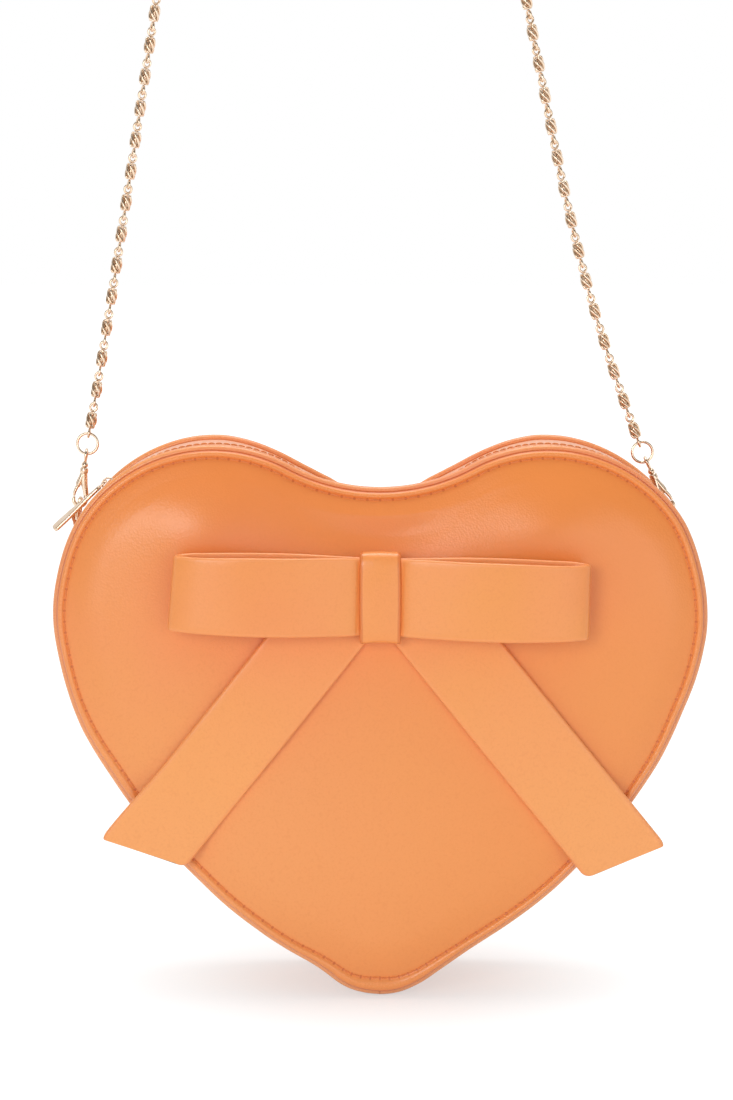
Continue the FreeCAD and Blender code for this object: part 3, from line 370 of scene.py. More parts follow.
def settled(points):
    """Soft shape of the case: the rear of the valley sinks, and the right side dents in round its ring tab.

    The sag is a curve across the heart times smooth steps to the rear and to the top edge; on the lobes it
    starts behind the zip, where the slider runs. The dent is a bell about the tab, deepest at the middle of
    the gusset. A like bell a little lower swells the gusset outward behind its front edge."""
    heart = bpy.context.scene.purse_heart
    x, y, z = np.moveaxis(points, -1, 0)
    run, share = np.transpose(SAG_ACROSS)
    bell = np.interp(np.abs(x) * 1000, run, share)
    apart = ease((np.abs(x) - 0.022) / 0.012)
    deep = ease((y + 0.024 - 0.014 * apart) / (0.036 - 0.008 * apart))
    high = ease((z + 0.300) / 0.050)
    way = np.array([math.sin(DENT_LEAN), math.cos(DENT_LEAN)])
    tab = np.array([heart.lobe_spread, heart.lobe_height - heart.tip_drop]) + heart.lobe_radius * way
    below = tab + 0.005 * np.array([way[1], -way[0]])
    near, wide = (np.exp(-(np.hypot(x - spot[0], z - spot[1]) / 0.013) ** 2) for spot in (tab, below))
    push = wide * heart.side_swell * ease((y + 0.0265) / 0.010)
    push -= near * heart.tab_dent * np.exp(-(y / 0.0078) ** 2)
    moved = points.copy()
    moved[..., 0] += way[0] * push
    moved[..., 2] += way[1] * push - heart.rear_sag * bell * deep * high
    return moved


def strip_grid(middle, across, out, width, thick, flats=10, rounds=5, bulge=0.0):
    """Flat band with half round edges carried along a line.

    Each ring is the band's section: a flat run on both faces, and half circles as thick as the band at its
    edges. A bulge lifts both faces towards out, most at the middle of the width."""
    across = np.broadcast_to(across, middle.shape)[:, None, :]
    out = np.broadcast_to(out, middle.shape)[:, None, :]
    flat_run = np.linspace(-1, 1, flats)
    turn = np.linspace(math.pi / 2, -math.pi / 2, rounds + 2)[1:-1]
    share = np.concatenate([flat_run, np.ones(rounds), flat_run[::-1], -np.ones(rounds)])
    along = np.concatenate([np.zeros(flats), np.cos(turn), np.zeros(flats), -np.cos(turn)])
    lift = np.concatenate([np.ones(flats), np.sin(turn), -np.ones(flats), -np.sin(turn)])
    half = thick / 2
    wide = np.broadcast_to(width, (len(middle),))[:, None]
    sideways = share * (wide / 2 - half) + along * half
    outward = lift * half + bulge * (1 - share[None] ** 2)
    return middle[:, None, :] + across * sideways[..., None] + out * outward[..., None]


def strip_rim(width, thick, flats, rounds):
    """Distance in millimetres of each point of such a band from its nearer edge."""
    flat_run = 1 - np.abs(np.linspace(-1, 1, flats))
    share = np.concatenate([flat_run, np.zeros(rounds), flat_run, np.zeros(rounds)])
    return share * (width[:, None] / 2 - thick / 2) * 1000


def tube_grids(lines, radius, up, sides=8, joined=False):
    """Rings round many centre lines at once: a circle in the plane across each line's direction."""
    way = np.roll(lines, -1, axis=1) - np.roll(lines, 1, axis=1) if joined else np.gradient(lines, axis=1)
    way = unit(way)
    side = unit(np.cross(way, up))
    rise = np.cross(side, way)
    cosine, sine = spokes(sides)
    radius = np.broadcast_to(radius, lines.shape[:2])[..., None, None]
    ring = cosine[:, None] * side[:, :, None, :] + sine[:, None] * rise[:, :, None, :]
    return lines[:, :, None, :] + ring * radius


def loop_grids(centre, first, second, radius, wire, steps=20, sides=8):
    """Round wire loops: a ring of wire sections about each centre, in the plane of the two directions."""
    cosine, sine = spokes(steps)
    spoke = cosine[:, None] * first[:, None, :] + sine[:, None] * second[:, None, :]
    normal = np.cross(first, second)[:, None, None, :]
    cosine, sine = spokes(sides)
    reach = radius + wire * cosine[:, None]
    return centre[:, None, None, :] + spoke[:, :, None, :] * reach + normal * (wire * sine)[:, None]


class Build:
    """Collects grids of points into one mesh: each grid's rings are closed, its ends capped or joined."""

    def __init__(self):
        self.parts = []
        self.size = 0

    def add(self, grids, joined=False, rim=None, turns=1.0):
        """Adds grids of shape (copies, rings, points in a ring, 3), with faces turned outwards.

        The map holds the share of a ring times turns, and the rim values of the grid's points."""
        grids = np.asarray(grids)
        if grids.ndim == 3:
            grids = grids[None]
        copies, rings, ring, _ = grids.shape
        own = rings * ring + (0 if joined else 2)
        base = self.size + np.arange(copies)[:, None, None] * own
        row = np.arange(rings if joined else rings - 1)[None, :, None]
        column = np.arange(ring)[None, None, :]
        upper = (row + 1) % rings
        after = (column + 1) % ring
        corners = ((row, column), (row, after), (upper, after), (upper, column))
        quads = np.stack([line * ring + spot for line, spot in corners], -1)
        quads = (base[..., None] + quads).reshape(-1, 4)
        points = grids.reshape(copies, rings * ring, 3)
        if rim is None:
            rim = np.zeros((rings, ring))
        shape = copies, row.size, ring
        pairs = []
        for (line, spot), share in zip(corners, (column, column + 1, column + 1, column)):
            pair = np.broadcast_to(share / ring * turns, shape), np.broadcast_to(rim[line, spot], shape)
            pairs.append(np.stack(pair, -1))
        maps = np.stack(pairs, -2).reshape(-1, 4, 2)
        caps = np.zeros((0, 3), dtype=int)
        cap_maps = np.zeros((0, 3, 2))
        if not joined:
            middles = np.stack([grids[:, 0].mean(axis=1), grids[:, -1].mean(axis=1)], axis=1)
            points = np.concatenate([points, middles], axis=1)
            for end, start in ((0, 0), (1, (rings - 1) * ring)):
                here = base[:, 0, :] + start + column[0]
                there = base[:, 0, :] + start + after[0]
                pole = base[:, :, 0] + rings * ring + end + 0 * here
                order = (pole, here, there) if end else (pole, there, here)
                caps = np.concatenate([caps, np.stack(order, -1).reshape(-1, 3)])
                edge = rim[-end]
                value = np.stack([np.full(ring, edge.mean()), edge, edge], -1)
                spots = np.stack([column[0, 0] + 0.5, column[0, 0], column[0, 0] + 1], -1) / ring * turns
                cap_maps = np.concatenate([cap_maps, np.tile(np.stack([spots, value], -1), (copies, 1, 1))])
        flat = points.reshape(-1, 3)
        faces = np.concatenate([quads[:, [0, 1, 2]], quads[:, [0, 2, 3]], caps]) - self.size
        a, b, c = (flat[faces[:, k]] for k in range(3))
        if np.einsum("ij,ij->i", a, np.cross(b, c)).sum() < 0:
            quads, maps, caps, cap_maps = (part[:, ::-1] for part in (quads, maps, caps, cap_maps))
        self.parts.append((flat, quads, caps, maps, cap_maps))
        self.size += len(flat)
        return self

    def piece(self, name, finish, body, slot, *nodes, mapped=False):
        """Makes the object at the origin with its finish and body, and hides the solids that it stands for;
        the slot is not used.
        """
        points, quads, caps, maps, cap_maps = (np.concatenate(part) for part in zip(*self.parts))
        mesh = bpy.data.meshes.new(name)
        mesh.from_pydata(points.tolist(), [], quads.tolist() + caps.tolist())
        if mapped:
            values = np.concatenate([maps.reshape(-1, 2), cap_maps.reshape(-1, 2)])
            mesh.uv_layers.new(name="rim").data.foreach_set("uv", values.astype(np.float32).ravel())
        mesh.polygons.foreach_set("use_smooth", np.ones(len(mesh.polygons), dtype=bool))
        mesh.materials.append(finish_for(finish))
        mesh.update()
        made = bpy.data.objects.new(name, mesh)
        bpy.context.scene.collection.objects.link(made)
        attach(made, body)
        if nodes:
            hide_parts(*nodes)
        return made


def case_piece(grid, name, finish, slot, *nodes):
    """Piece of the pouch made of one grid, with the case's soft shape."""
    return Build().add(settled(grid)).piece(name, finish, "pouch", slot, *nodes)


# Materials.

class Wire:
    """A value on its way between shader nodes; arithmetic on it adds Math nodes."""

    def __init__(self, finish, socket):
        self.finish = finish
        self.socket = socket

    def math(self, operation, *others):
        """Math node on this value and others."""
        return self.finish.node("ShaderNodeMath", {"operation": operation}, dict(enumerate((self,) + others)))

    def __add__(self, other):
        return self.math("ADD", other)

    def __sub__(self, other):
        return self.math("SUBTRACT", other)

    def __rsub__(self, other):
        return self.finish.node("ShaderNodeMath", {"operation": "SUBTRACT"}, {0: other, 1: self})

    def __mul__(self, other):
        return self.math("MULTIPLY", other)

    __radd__ = __add__
    __rmul__ = __mul__

    def step(self, low, high):
        """Smooth step from 0 at low to 1 at high."""
        values = {"Value": self, "From Min": low, "From Max": high}
        return self.finish.node("ShaderNodeMapRange", {"interpolation_type": "SMOOTHSTEP"}, values)

    def near(self, value, inner, outer):
        """1 within inner of a value, falling to 0 at outer."""
        return 1 - (self - value).math("ABSOLUTE").step(inner, outer)


class Finish:
    """A material or world being made: one shader, and nodes that feed it."""

    def __init__(self, holder, output="ShaderNodeOutputMaterial"):
        self.holder = holder
        self.holder.use_nodes = True
        self.tree = self.holder.node_tree
        self.tree.nodes.clear()
        self.output = self.tree.nodes.new(output)

    def node(self, kind, options, values, output=0):
        """Adds a node: its options first, then the values or links of its sockets; gives one output."""
        made = self.tree.nodes.new(kind)
        for key, value in options.items():
            setattr(made, key, value)
        for key, value in values.items():
            if isinstance(value, Wire):
                self.tree.links.new(value.socket, made.inputs[key])
            else:
                made.inputs[key].default_value = value
        return Wire(self, made.outputs[output])

    def where(self):
        return self.node("ShaderNodeTexCoord", {}, {}, "Object")

    def part(self, place, axis):
        """One number of a vector."""
        return self.node("ShaderNodeSeparateXYZ", {}, {0: place}, axis)

    def noise(self, place, scale, detail=2.0, rough=0.5):
        values = {"Vector": place, "Scale": scale, "Detail": detail, "Roughness": rough}
        return self.node("ShaderNodeTexNoise", {}, values, "Fac")

    def waves(self, place, direction, scale, distortion=0.0):
        values = {"Vector": place, "Scale": scale, "Distortion": distortion}
        return self.node("ShaderNodeTexWave", {"bands_direction": direction}, values, "Fac")

    def blend(self, low, high, share):
        """Colour between two colours by a share."""
        values = {0: share}
        for key, value in ((6, low), (7, high)):
            values[key] = value if isinstance(value, Wire) else tuple(value[:3]) + (1.0,)
        return self.node("ShaderNodeMix", {"data_type": "RGBA"}, values, 2)

    def surface(self, tint, rough, height, strength, depth, **others):
        """Adds the surface shader with its colour, roughness and bump, and joins it to the output."""
        bump = self.node("ShaderNodeBump", {}, {"Height": height, "Strength": strength, "Distance": depth})
        values = {"Base Color": tint, "Roughness": rough, "Normal": bump, **others}
        self.show(self.node("ShaderNodeBsdfPrincipled", {}, values))
        return self.holder

    def show(self, surface):
        """Joins a shader to the output."""
        self.tree.links.new(surface.socket, self.output.inputs["Surface"])


def toned(given, red, green, blue):
    """Colour times a factor for each channel."""
    return tuple(min(1.0, value * factor) for value, factor in zip(given, (red, green, blue)))


# Panel edges, in millimetres: inset of the rolled rim, of the stitch row, and the length of a stitch.
RIM_INSET = 1.62
ROW_INSET = 4.0
STITCH_RUN = 3.9
# Tone of the painted shade in the seam between the rolled rim and the piping.
SEAM_SHADE = (0.72, 0.42, 0.28)
# Tone of a band's edge, pale for a painted highlight and dark for painted shade, and the insets between which
# it fades.
EDGE_SHADING_TONES = {"pale": ((1.03, 1.10, 1.45), 0.05, 0.42), "dark": ((0.72, 0.46, 0.32), 0.0, 0.4)}


def leather_finish(finish, base, sewn=False, edge_shading="", seam=False):
    """Satin coated leather: clouded colour, painted light from below that makes it paler towards the tip, and
    a fine pebble grain in the bump.

    A sewn panel has painted shade in its needle holes, its stitch groove, its seam with the piping and
    towards its top; a band has a painted highlight or painted shade along its edges, and piping painted shade
    in its seam."""
    place = finish.where()
    cloud = finish.noise(place, 16.0, 3.0).step(0.3, 0.7)
    drift = finish.noise(place, 41.0, 2.0).step(0.25, 0.75)
    # Share towards the tip, for the painted light from below.
    low = 1 - finish.part(place, 2).step(-0.375, -0.245)
    cells = {"Vector": place, "Scale": 1350.0}
    pebble = finish.node("ShaderNodeTexVoronoi", {"feature": "F1"}, cells, "Distance")
    grain = pebble * 0.65 + finish.noise(place, 2600.0, 3.0, 0.6) * 0.35
    rough = 0.25 + drift * 0.05 + grain * 0.08
    tint = finish.blend(toned(base, 1.0, 0.94, 1.04), toned(base, 1.0, 1.06, 0.97), cloud)
    tones = [
        ((1.0, 0.99, 1.22), drift * 0.4),
        # painted light: paler and yellower towards the tip, as if lit from below
        ((1.06, 1.30, 1.62), low * 0.85),
        ((0.86, 0.80, 0.76), pebble.step(0.45, 0.95) * 0.18),
    ]
    if edge_shading or sewn or seam:
        rim = finish.node("ShaderNodeUVMap", {"uv_map": "rim"}, {}, "UV")
        inset = finish.part(rim, 1)
    if edge_shading:
        tone, start, stop = EDGE_SHADING_TONES[edge_shading]
        # painted highlight or painted shade along the band's edges
        tones.append((tone, (1 - inset.step(start, stop)) * 0.6))
    if seam:
        # painted shade on the piping's inner side, in the seam
        tones.append((SEAM_SHADE, inset.step(1.2, 1.7) * 0.75))
        rough = rough - 0.04
    if sewn:
        row = inset - ROW_INSET
        run = ((finish.part(rim, 0) + 0.5).math("FRACT") - 0.5) * STITCH_RUN
        # painted shade in the needle holes along the stitch row
        hole_shade = 1 - (run * run + row * row).math("SQRT").step(0.30, 0.62)
        # Paler and glossier along the crest of the rolled edge.
        roll_crest = inset.near(2.75, 0.2, 1.0)
        dark = tuple(part / whole for part, whole in zip(bpy.context.scene.purse_finishes.hole_shade, base))
        tones += [
            # painted shade: darker towards the top of the panel
            ((0.97, 0.86, 0.72), finish.part(place, 2).step(-0.275, -0.225) * 0.8),
            ((1.0, 0.97, 0.70), finish.part(place, 0).step(-0.07, 0.07) * 0.5),
            # painted shade in the groove of the stitch row
            ((0.97, 0.86, 0.74), inset.near(ROW_INSET, 0.15, 0.9) * 0.35),
            ((1.04, 1.16, 1.36), roll_crest * 0.5),
            # painted shade of the needle holes
            (dark, hole_shade * 0.7),
            # painted shade where the rolled rim meets the piping
            (SEAM_SHADE, (1 - inset.step(1.66, 2.0)) * 0.75),
        ]
        rough = rough - roll_crest * 0.05
    for tone, share in tones:
        tint = finish.blend(tint, toned(base, *tone), share)
    return finish.surface(tint, rough, grain, 0.22, 0.00025, **{"Specular IOR Level": 0.55})


def thread_finish(finish, base):
    """Twisted thread: fine slanting ridges, and painted shade in the grooves between them."""
    twist = finish.waves(finish.where(), "DIAGONAL", 900.0, 2.0)
    # painted shade: darker where the ridges dip
    tone = finish.blend(toned(base, 0.85, 0.8, 0.8), base, twist)
    return finish.surface(tone, 0.55 + twist * 0.1, twist, 0.3, 0.0001)


def woven_finish(finish, base, scale):
    """Plain weave: two crossing sets of ridges with painted shade between them, and thread to thread changes
    of tone.
    """
    place = finish.where()
    weave = finish.waves(place, "X", scale).math("MAXIMUM", finish.waves(place, "Z", scale))
    # painted shade: darker between the ridges
    tone = finish.blend(toned(base, 0.78, 0.76, 0.74), base, weave)
    tone = finish.blend(tone, toned(base, 1.06, 1.06, 1.06), finish.noise(place, 60.0) * 0.5)
    return finish.surface(tone, 0.7 + weave * 0.12, weave, 0.35, 0.0002)


def gold_finish(finish, base):
    """Polished plating: faint rub marks in the roughness and slight clouds in the colour."""
    place = finish.where()
    cloud = finish.noise(place, 240.0, 2.0)
    rubs = finish.node("ShaderNodeMapping", {}, {"Vector": place, "Scale": (900.0, 900.0, 120.0)})
    marks = finish.noise(rubs, 3.0, 3.0, 0.6)
    tone = finish.blend(toned(base, 0.92, 0.87, 0.80), base, cloud.step(0.3, 0.7))
    return finish.surface(tone, 0.17 + marks * 0.16, marks, 0.05, 0.0001, Metallic=1.0)


def board_finish(finish, base):
    """Pressed board: speckled fibres."""
    fibres = finish.noise(finish.where(), 420.0, 4.0, 0.7)
    tone = finish.blend(toned(base, 0.8, 0.78, 0.75), base, fibres.step(0.35, 0.65))
    return finish.surface(tone, 0.85 + fibres * 0.1, fibres, 0.3, 0.0002)


finishes = {}


def finish_for(name):
    """The material of that name, made once."""
    if name not in finishes:
        look = bpy.context.scene.purse_finishes
        maker, base, options = {
            "front_leather_painted_shade": (leather_finish, look.front, {"sewn": True}),
            # The bow's pale edges are a painted highlight, the knot's dark edges painted shade.
            "bow_leather": (leather_finish, look.bow, {"edge_shading": "pale"}),
            "knot_leather_edge_shade": (leather_finish, look.bow, {"edge_shading": "dark"}),
            "piping_leather_seam_shade": (leather_finish, look.gusset, {"seam": True}),
            "gusset_leather": (leather_finish, look.gusset, {}),
            "sewing_thread": (thread_finish, look.thread, {}),
            # Paler copy of the thread for the top strips: painted light from above.
            "strip_thread": (thread_finish, toned(look.thread, 1.03, 1.18, 1.2), {}),
            "lining_cloth": (woven_finish, look.lining, {"scale": 420.0}),
            "zip_tape_weave": (woven_finish, look.tape, {"scale": 520.0}),
            "zip_coil_plastic": (thread_finish, toned(look.tape, 0.95, 0.92, 0.9), {}),
            "pale_gold": (gold_finish, look.gold, {}),
            "stiffening_board": (board_finish, look.board, {}),
        }[name]
        finishes[name] = maker(Finish(bpy.data.materials.new(name)), base, **options)
    return finishes[name]


def dress_node(node, finish):
    """Gives a solid of the part a finish."""
    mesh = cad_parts[node].data
    mesh.materials.clear()
    mesh.materials.append(finish_for(finish))


# Padded panels.

EDGE_KEYS = (
    (6.0, 0.12), (4.0, 0.1), (2.5, 0.1), (1.9, 0.45), (1.62, 1.2), (1.76, 2.05), (2.2, 2.7), (2.75, 2.92),
    (3.25, 2.72), (3.65, 2.34), (4.0, 2.18), (4.45, 2.38), (5.2, 2.80),
)


def crown(rise, run, power):
    """Rise of a panel by its inset, in millimetres: the whole rise, less a power of the run still to go."""
    return lambda inset: 2.6 + rise * (1 - (1 - np.clip((inset - 4.8) / run, 0, 1)) ** power)


FRONT_CROWN = crown(5.9, 27.0, 2.1)
REAR_CROWN = crown(1.35, 7.0, 2)


def panel_grid(outline, crown_at, relief, way, depth, steps):
    """Panel as rings: rear cap, rolled edge along the outline's normals, then rings that close on the middle.

    The edge is a bead at the rim, the groove of the stitch row, then the crown's own rise, stretched so that
    its groove follows the row. Further in, the rise is a function of the distance from the outline,
    smoothed round and across the rings, plus a relief."""
    reach = outline.round(steps)
    place, normal = outline.at(reach)
    inner = np.linspace(5.6, 9.4, 8)
    section = np.concatenate([through(EDGE_KEYS, 46), np.stack([inner, crown_at(inner)], axis=1)])
    keys = section[:, :1]
    row = outline.looked_up(reach, outline.rows)[None]
    stretch = (row - RIM_INSET) / (ROW_INSET - RIM_INSET)
    inward = np.where(keys < ROW_INSET, RIM_INSET + (keys - RIM_INSET) * stretch, keys + row - ROW_INSET)
    outer = place[None] - normal[None] * (inward / 1000)[..., None]
    middle = outline.middle
    shares = (1 - np.linspace(0, 1, 48)[1:-1] ** 0.85)[:, None, None]
    inner = middle + (outer[-1] - middle) * shares
    inset = np.stack([
        np.linalg.norm(ring[:, None, :] - place[None, ::2, :], axis=-1).min(axis=1) for ring in inner]) * 1000
    rise = crown_at(inset)
    for smoothing in range(70):
        rise = (np.roll(rise, 1, axis=1) + 2 * rise + np.roll(rise, -1, axis=1)) / 4
        rise[1:-1] = (rise[:-2] + 2 * rise[1:-1] + rise[2:]) / 4
    if relief:
        rise += relief(inner, inset)
    cap = middle + (outer[0] - middle) * np.array([0.03, 0.35, 0.7])[:, None, None]
    edge = np.repeat(section[:, 1:], steps, axis=1)
    rises = np.concatenate([np.full((3, steps), section[0, 1]), edge, rise])
    rims = np.concatenate([np.full((3, steps), 20.0), np.repeat(keys, steps, axis=1), inset])
    return upright(np.concatenate([cap, outer, inner]), depth + way * rises / 1000), rims


def front_relief(flat, inset):
    """Soft hollows and swells of the padding in millimetres: bells over the front and a faint ripple."""
    x = flat[..., 0] * 1000
    z = (flat[..., 1] + bpy.context.scene.purse_heart.tip_drop) * 1000
    fade = ease((inset - 7) / 10)
    swell = 2.4 * np.exp(-((np.abs(x) - 60) / 17) ** 2 - ((z - 159) / 15) ** 2)
    hollow = -2.1 * np.exp(-(x / 20) ** 2 - ((z - 160) / 14) ** 2)
    ripple = np.sin(x / 13 + z / 31) * np.sin(z / 17 - x / 47) * ease((np.abs(z - 110) - 10) / 25)
    return (swell + hollow + ripple * 0.132) * fade


class PURSE_OT_panels(bpy.types.Operator):
    """Padded heart front and flat heart rear, each with a rolled edge and a groove for its stitch row"""
    bl_idname = "purse.panels"
    bl_label = "Panels"

    def execute(self, context):
        heart = context.scene.purse_heart
        turns = context.scene.purse_sewing.stitches
        outline = Outline(heart)
        grid, rims = panel_grid(outline, FRONT_CROWN, front_relief, -1, heart.front_depth, heart.steps)
        made = Build().add(grid, rim=rims, turns=turns).piece(
            "front_heart", "front_leather_painted_shade", "pouch", "leather", "front_panel", "front_padding", mapped=True)
        grid, rims = panel_grid(outline, REAR_CROWN, None, 1, heart.rear_depth, heart.steps)
        Build().add(settled(grid), rim=rims, turns=turns).piece(
            "rear_heart", "front_leather_painted_shade", "pouch", "leather", "back_panel", mapped=True)
        return {"FINISHED"}


class PURSE_OT_piping(bpy.types.Operator):
    """Piping beads at both edges of the gusset: a circle carried round the outline, with painted shade in its
    seam
    """
    bl_idname = "purse.piping"
    bl_label = "Piping"

    def execute(self, context):
        heart = context.scene.purse_heart
        outline = Outline(heart)
        reach = outline.round(heart.steps)
        place, normal = outline.at(reach)
        radius = heart.piping_radius
        join = outline.half - np.abs(reach)[:, None] < 0.0007
        cosine, sine = spokes(14)
        out = (cosine * radius - radius)[None, :, None]
        flat = place[:, None, :] + normal[:, None, :] * out
        # The piping's join at the tip takes the seam's painted shade all round.
        rims = np.where(join, 1.6, -out[..., 0] * 1000)
        for name, depth in (("front", heart.front_depth + radius), ("back", heart.rear_depth - radius)):
            grid = upright(flat, depth + sine[None, :] * radius)
            Build().add(settled(grid), joined=True, rim=rims).piece(
                name + "_piping_bead", "piping_leather_seam_shade", "pouch", "leather", name + "_piping", mapped=True)
        return {"FINISHED"}


# Gusset and zip.

def band_along(outline, start, stop, steps, inset, thick, edges, bulge=0.0):
    """Band that stands across the depth between two edges and follows the outline at an inset."""
    low, high = sorted(edges)
    place, normal = outline.at(np.linspace(start, stop, steps))
    middle = upright(place - normal * (inset + thick / 2), (low + high) / 2)
    return strip_grid(middle, AXIS_Y, upright(normal, 0.0), high - low, thick, flats=36, bulge=bulge)


class PURSE_OT_gusset(bpy.types.Operator):
    """Side bands that meet in a seam at the tip, and the strips on either side of the zip"""
    bl_idname = "purse.gusset"
    bl_label = "Gusset"

    def execute(self, context):
        heart = context.scene.purse_heart
        sewing = context.scene.purse_sewing
        outline = Outline(heart)
        seams = heart.front_depth + 2 * heart.piping_radius, heart.rear_depth - 2 * heart.piping_radius
        top = outline.strip_end
        seam_gap = 0.00012
        sizes = heart.gusset_inset, heart.leather
        for name, side in SIDES:
            stop = side * (outline.half - seam_gap)
            grid = band_along(outline, side * top, stop, 420, *sizes, seams, 0.0003)
            case_piece(grid, name + "_side_band", "gusset_leather", "leather", name + "_gusset")
        for (name, way), seam in zip(FACES, seams):
            edges = seam, sewing.zip_depth + way * sewing.mouth
            grid = band_along(outline, -top, top, 520, *sizes, edges, 0.0004)
            case_piece(grid, name + "_top_strip", "gusset_leather", "leather", "top_gusset_" + name)
        return {"FINISHED"}


# Zip, in metres: insets from the outline, the tapes' thickness, and the coils' radius with its ripple.
TAPE_INSET = 0.0032
TAPE_THICK = 0.0007
COIL_INSET = 0.00335
COIL_RADIUS = 0.00058
COIL_RIPPLE = 0.00036


class PURSE_OT_zip(bpy.types.Operator):
    """Woven tapes, and two rows of coil whose thickness ripples once a turn, under the strips"""
    bl_idname = "purse.zip"
    bl_label = "Zip"

    def execute(self, context):
        sewing = context.scene.purse_sewing
        outline = Outline(context.scene.purse_heart)
        top = outline.strip_end
        for name, way in FACES:
            edges = [sewing.zip_depth + way * edge for edge in (sewing.tape_inner, sewing.tape_outer)]
            grid = band_along(outline, -top, top, 420, TAPE_INSET, TAPE_THICK, edges)
            case_piece(grid, name + "_zip_tape", "zip_tape_weave", "zip_tape", "zip_tape_" + name)
        end = outline.at_lean(sewing.coil_end)
        reach = np.linspace(-end, end, sewing.coil_turns * 8)
        place, normal = outline.at(reach)
        ripple = 0.5 + 0.5 * np.cos(reach / end * sewing.coil_turns * math.pi)
        for name, way in FACES:
            line = upright(place - normal * COIL_INSET, sewing.zip_depth + way * sewing.coil_apart)[None]
            grid = tube_grids(line, COIL_RADIUS + COIL_RIPPLE * ripple[None], AXIS_Y, sides=10)
            case_piece(grid, name + "_zip_coil", "zip_coil_plastic", "zip_coil", "zip_coil_" + name)
        return {"FINISHED"}


# Ring tabs: leans on the lobe and turns about the ring's bar in degrees, the rest in metres.
TAB_LEANS = (82.0, 63.5)
TAB_INSET = 0.00092
TAB_WIDTH = 0.0052
TAB_LEATHER = 0.00115
BAR_LEAN = 60.0
BAR_FROM_LOBE = 0.0546
WRAP_TURNS = (-38.0, 235.0)
WRAP_RADIUS = 0.00142


class PURSE_OT_ring_tabs(bpy.types.Operator):
    """Folded leather tabs, each a band up the gusset that wraps round the bar of its ring"""
    bl_idname = "purse.ring_tabs"
    bl_label = "Ring tabs"

    def execute(self, context):
        outline = Outline(context.scene.purse_heart)
        place, normal = outline.at(outline.at_lean(np.radians(np.linspace(*TAB_LEANS, 30))))
        run = place - normal * TAB_INSET
        bar_lean = math.radians(BAR_LEAN)
        bar = outline.lobe + np.array([math.sin(bar_lean), math.cos(bar_lean)]) * BAR_FROM_LOBE
        turn = np.radians(np.linspace(*WRAP_TURNS, 46))
        wrap = bar + WRAP_RADIUS * np.stack([np.cos(turn), np.sin(turn)], axis=1)
        line = through(np.concatenate([run[::3], wrap[::3]]), 90)
        for name, side in SIDES:
            middle = upright(line * [side, 1], 0.0)
            out = np.cross(unit(np.gradient(middle, axis=0)), AXIS_Y)
            grid = strip_grid(middle, AXIS_Y, out, TAB_WIDTH, TAB_LEATHER, flats=7)
            case_piece(grid, name + "_tab", "gusset_leather", "leather", name + "_ring_tab")
        return {"FINISHED"}


# Sewing.

def stitch_row(outline, start, stop, stitches, inset, depth, out_share, thread):
    """Row of stitches along the outline: each an arched thread whose ends dip into their holes.

    The arch is a half sine of the stitch's run. It rises outward and to the rear by the two shares. With no
    inset given, the row follows the panels' own."""
    t = np.linspace(0.06, 0.94, 6)
    spots = start + (np.arange(stitches)[:, None] + t[None, :]) * (stop - start) / stitches
    spots = np.where(spots > outline.half, spots - 2 * outline.half, spots)
    place, normal = outline.at(spots)
    arch = np.sin(np.pi * t) * thread * 0.55 - thread * 0.5
    if inset is None:
        inset = outline.looked_up(spots, outline.rows)[..., None] / 1000
    face = upright(normal, 0.0) * out_share[0] + AXIS_Y * out_share[1]
    line = upright(place - normal * inset, depth) + face * arch[None, :, None]
    return tube_grids(line, thread / 2 * np.array([0.55, 0.95, 1.0, 1.0, 0.95, 0.55]), face, sides=6)


class PURSE_OT_stitches(bpy.types.Operator):
    """Thread round both panels and along the top strips"""
    bl_idname = "purse.stitches"
    bl_label = "Stitches"

    def execute(self, context):
        heart = context.scene.purse_heart
        sewing = context.scene.purse_sewing
        outline = Outline(heart)
        whole = 2 * outline.half
        for name, seam, way in (("front", heart.front_depth, -1), ("rear", heart.rear_depth, 1)):
            depth = seam + way * sewing.row_rise
            rows = stitch_row(outline, 0.0, whole, sewing.stitches, None, depth, (0.0, way), sewing.thread)
            case_piece(rows, name + "_stitches", "sewing_thread", "leather")
        top = outline.strip_end - 0.002
        for name, way in FACES:
            depth = sewing.zip_depth + way * sewing.strip_row
            rows = stitch_row(
                outline, -top, top, sewing.strip_stitches, 0.00125, depth, (1.0, 0.0), sewing.thread * 0.75)
            case_piece(rows, name + "_strip_stitches", "strip_thread", "leather")
        return {"FINISHED"}


# Bow. The keys are plans in millimetres: across and depth for the right half of the loop,
# depth and height for the knot.

LOOP_KEYS = (
    (0.0, -41.8), (22.0, -41.8), (44.0, -41.85), (60.0, -42.0), (66.6, -42.9), (68.1, -45.2), (66.4, -47.6),
    (59.0, -50.0), (46.0, -51.2), (30.0, -50.3), (17.5, -48.4), (10.0, -46.7), (7.5, -45.1), (4.5, -44.2),
    (0.0, -44.1),
)
KNOT_KEYS = (
    (-46.05, 0.0), (-46.1, 7.0), (-45.95, 10.9), (-45.2, 13.2), (-43.6, 13.9), (-41.6, 13.6), (-40.4, 12.2),
    (-40.25, 7.0), (-40.2, 0.0), (-40.25, -7.0), (-40.4, -13.2), (-41.6, -14.6), (-43.6, -14.85),
    (-45.2, -14.2), (-45.95, -11.8), (-46.1, -7.0),
)


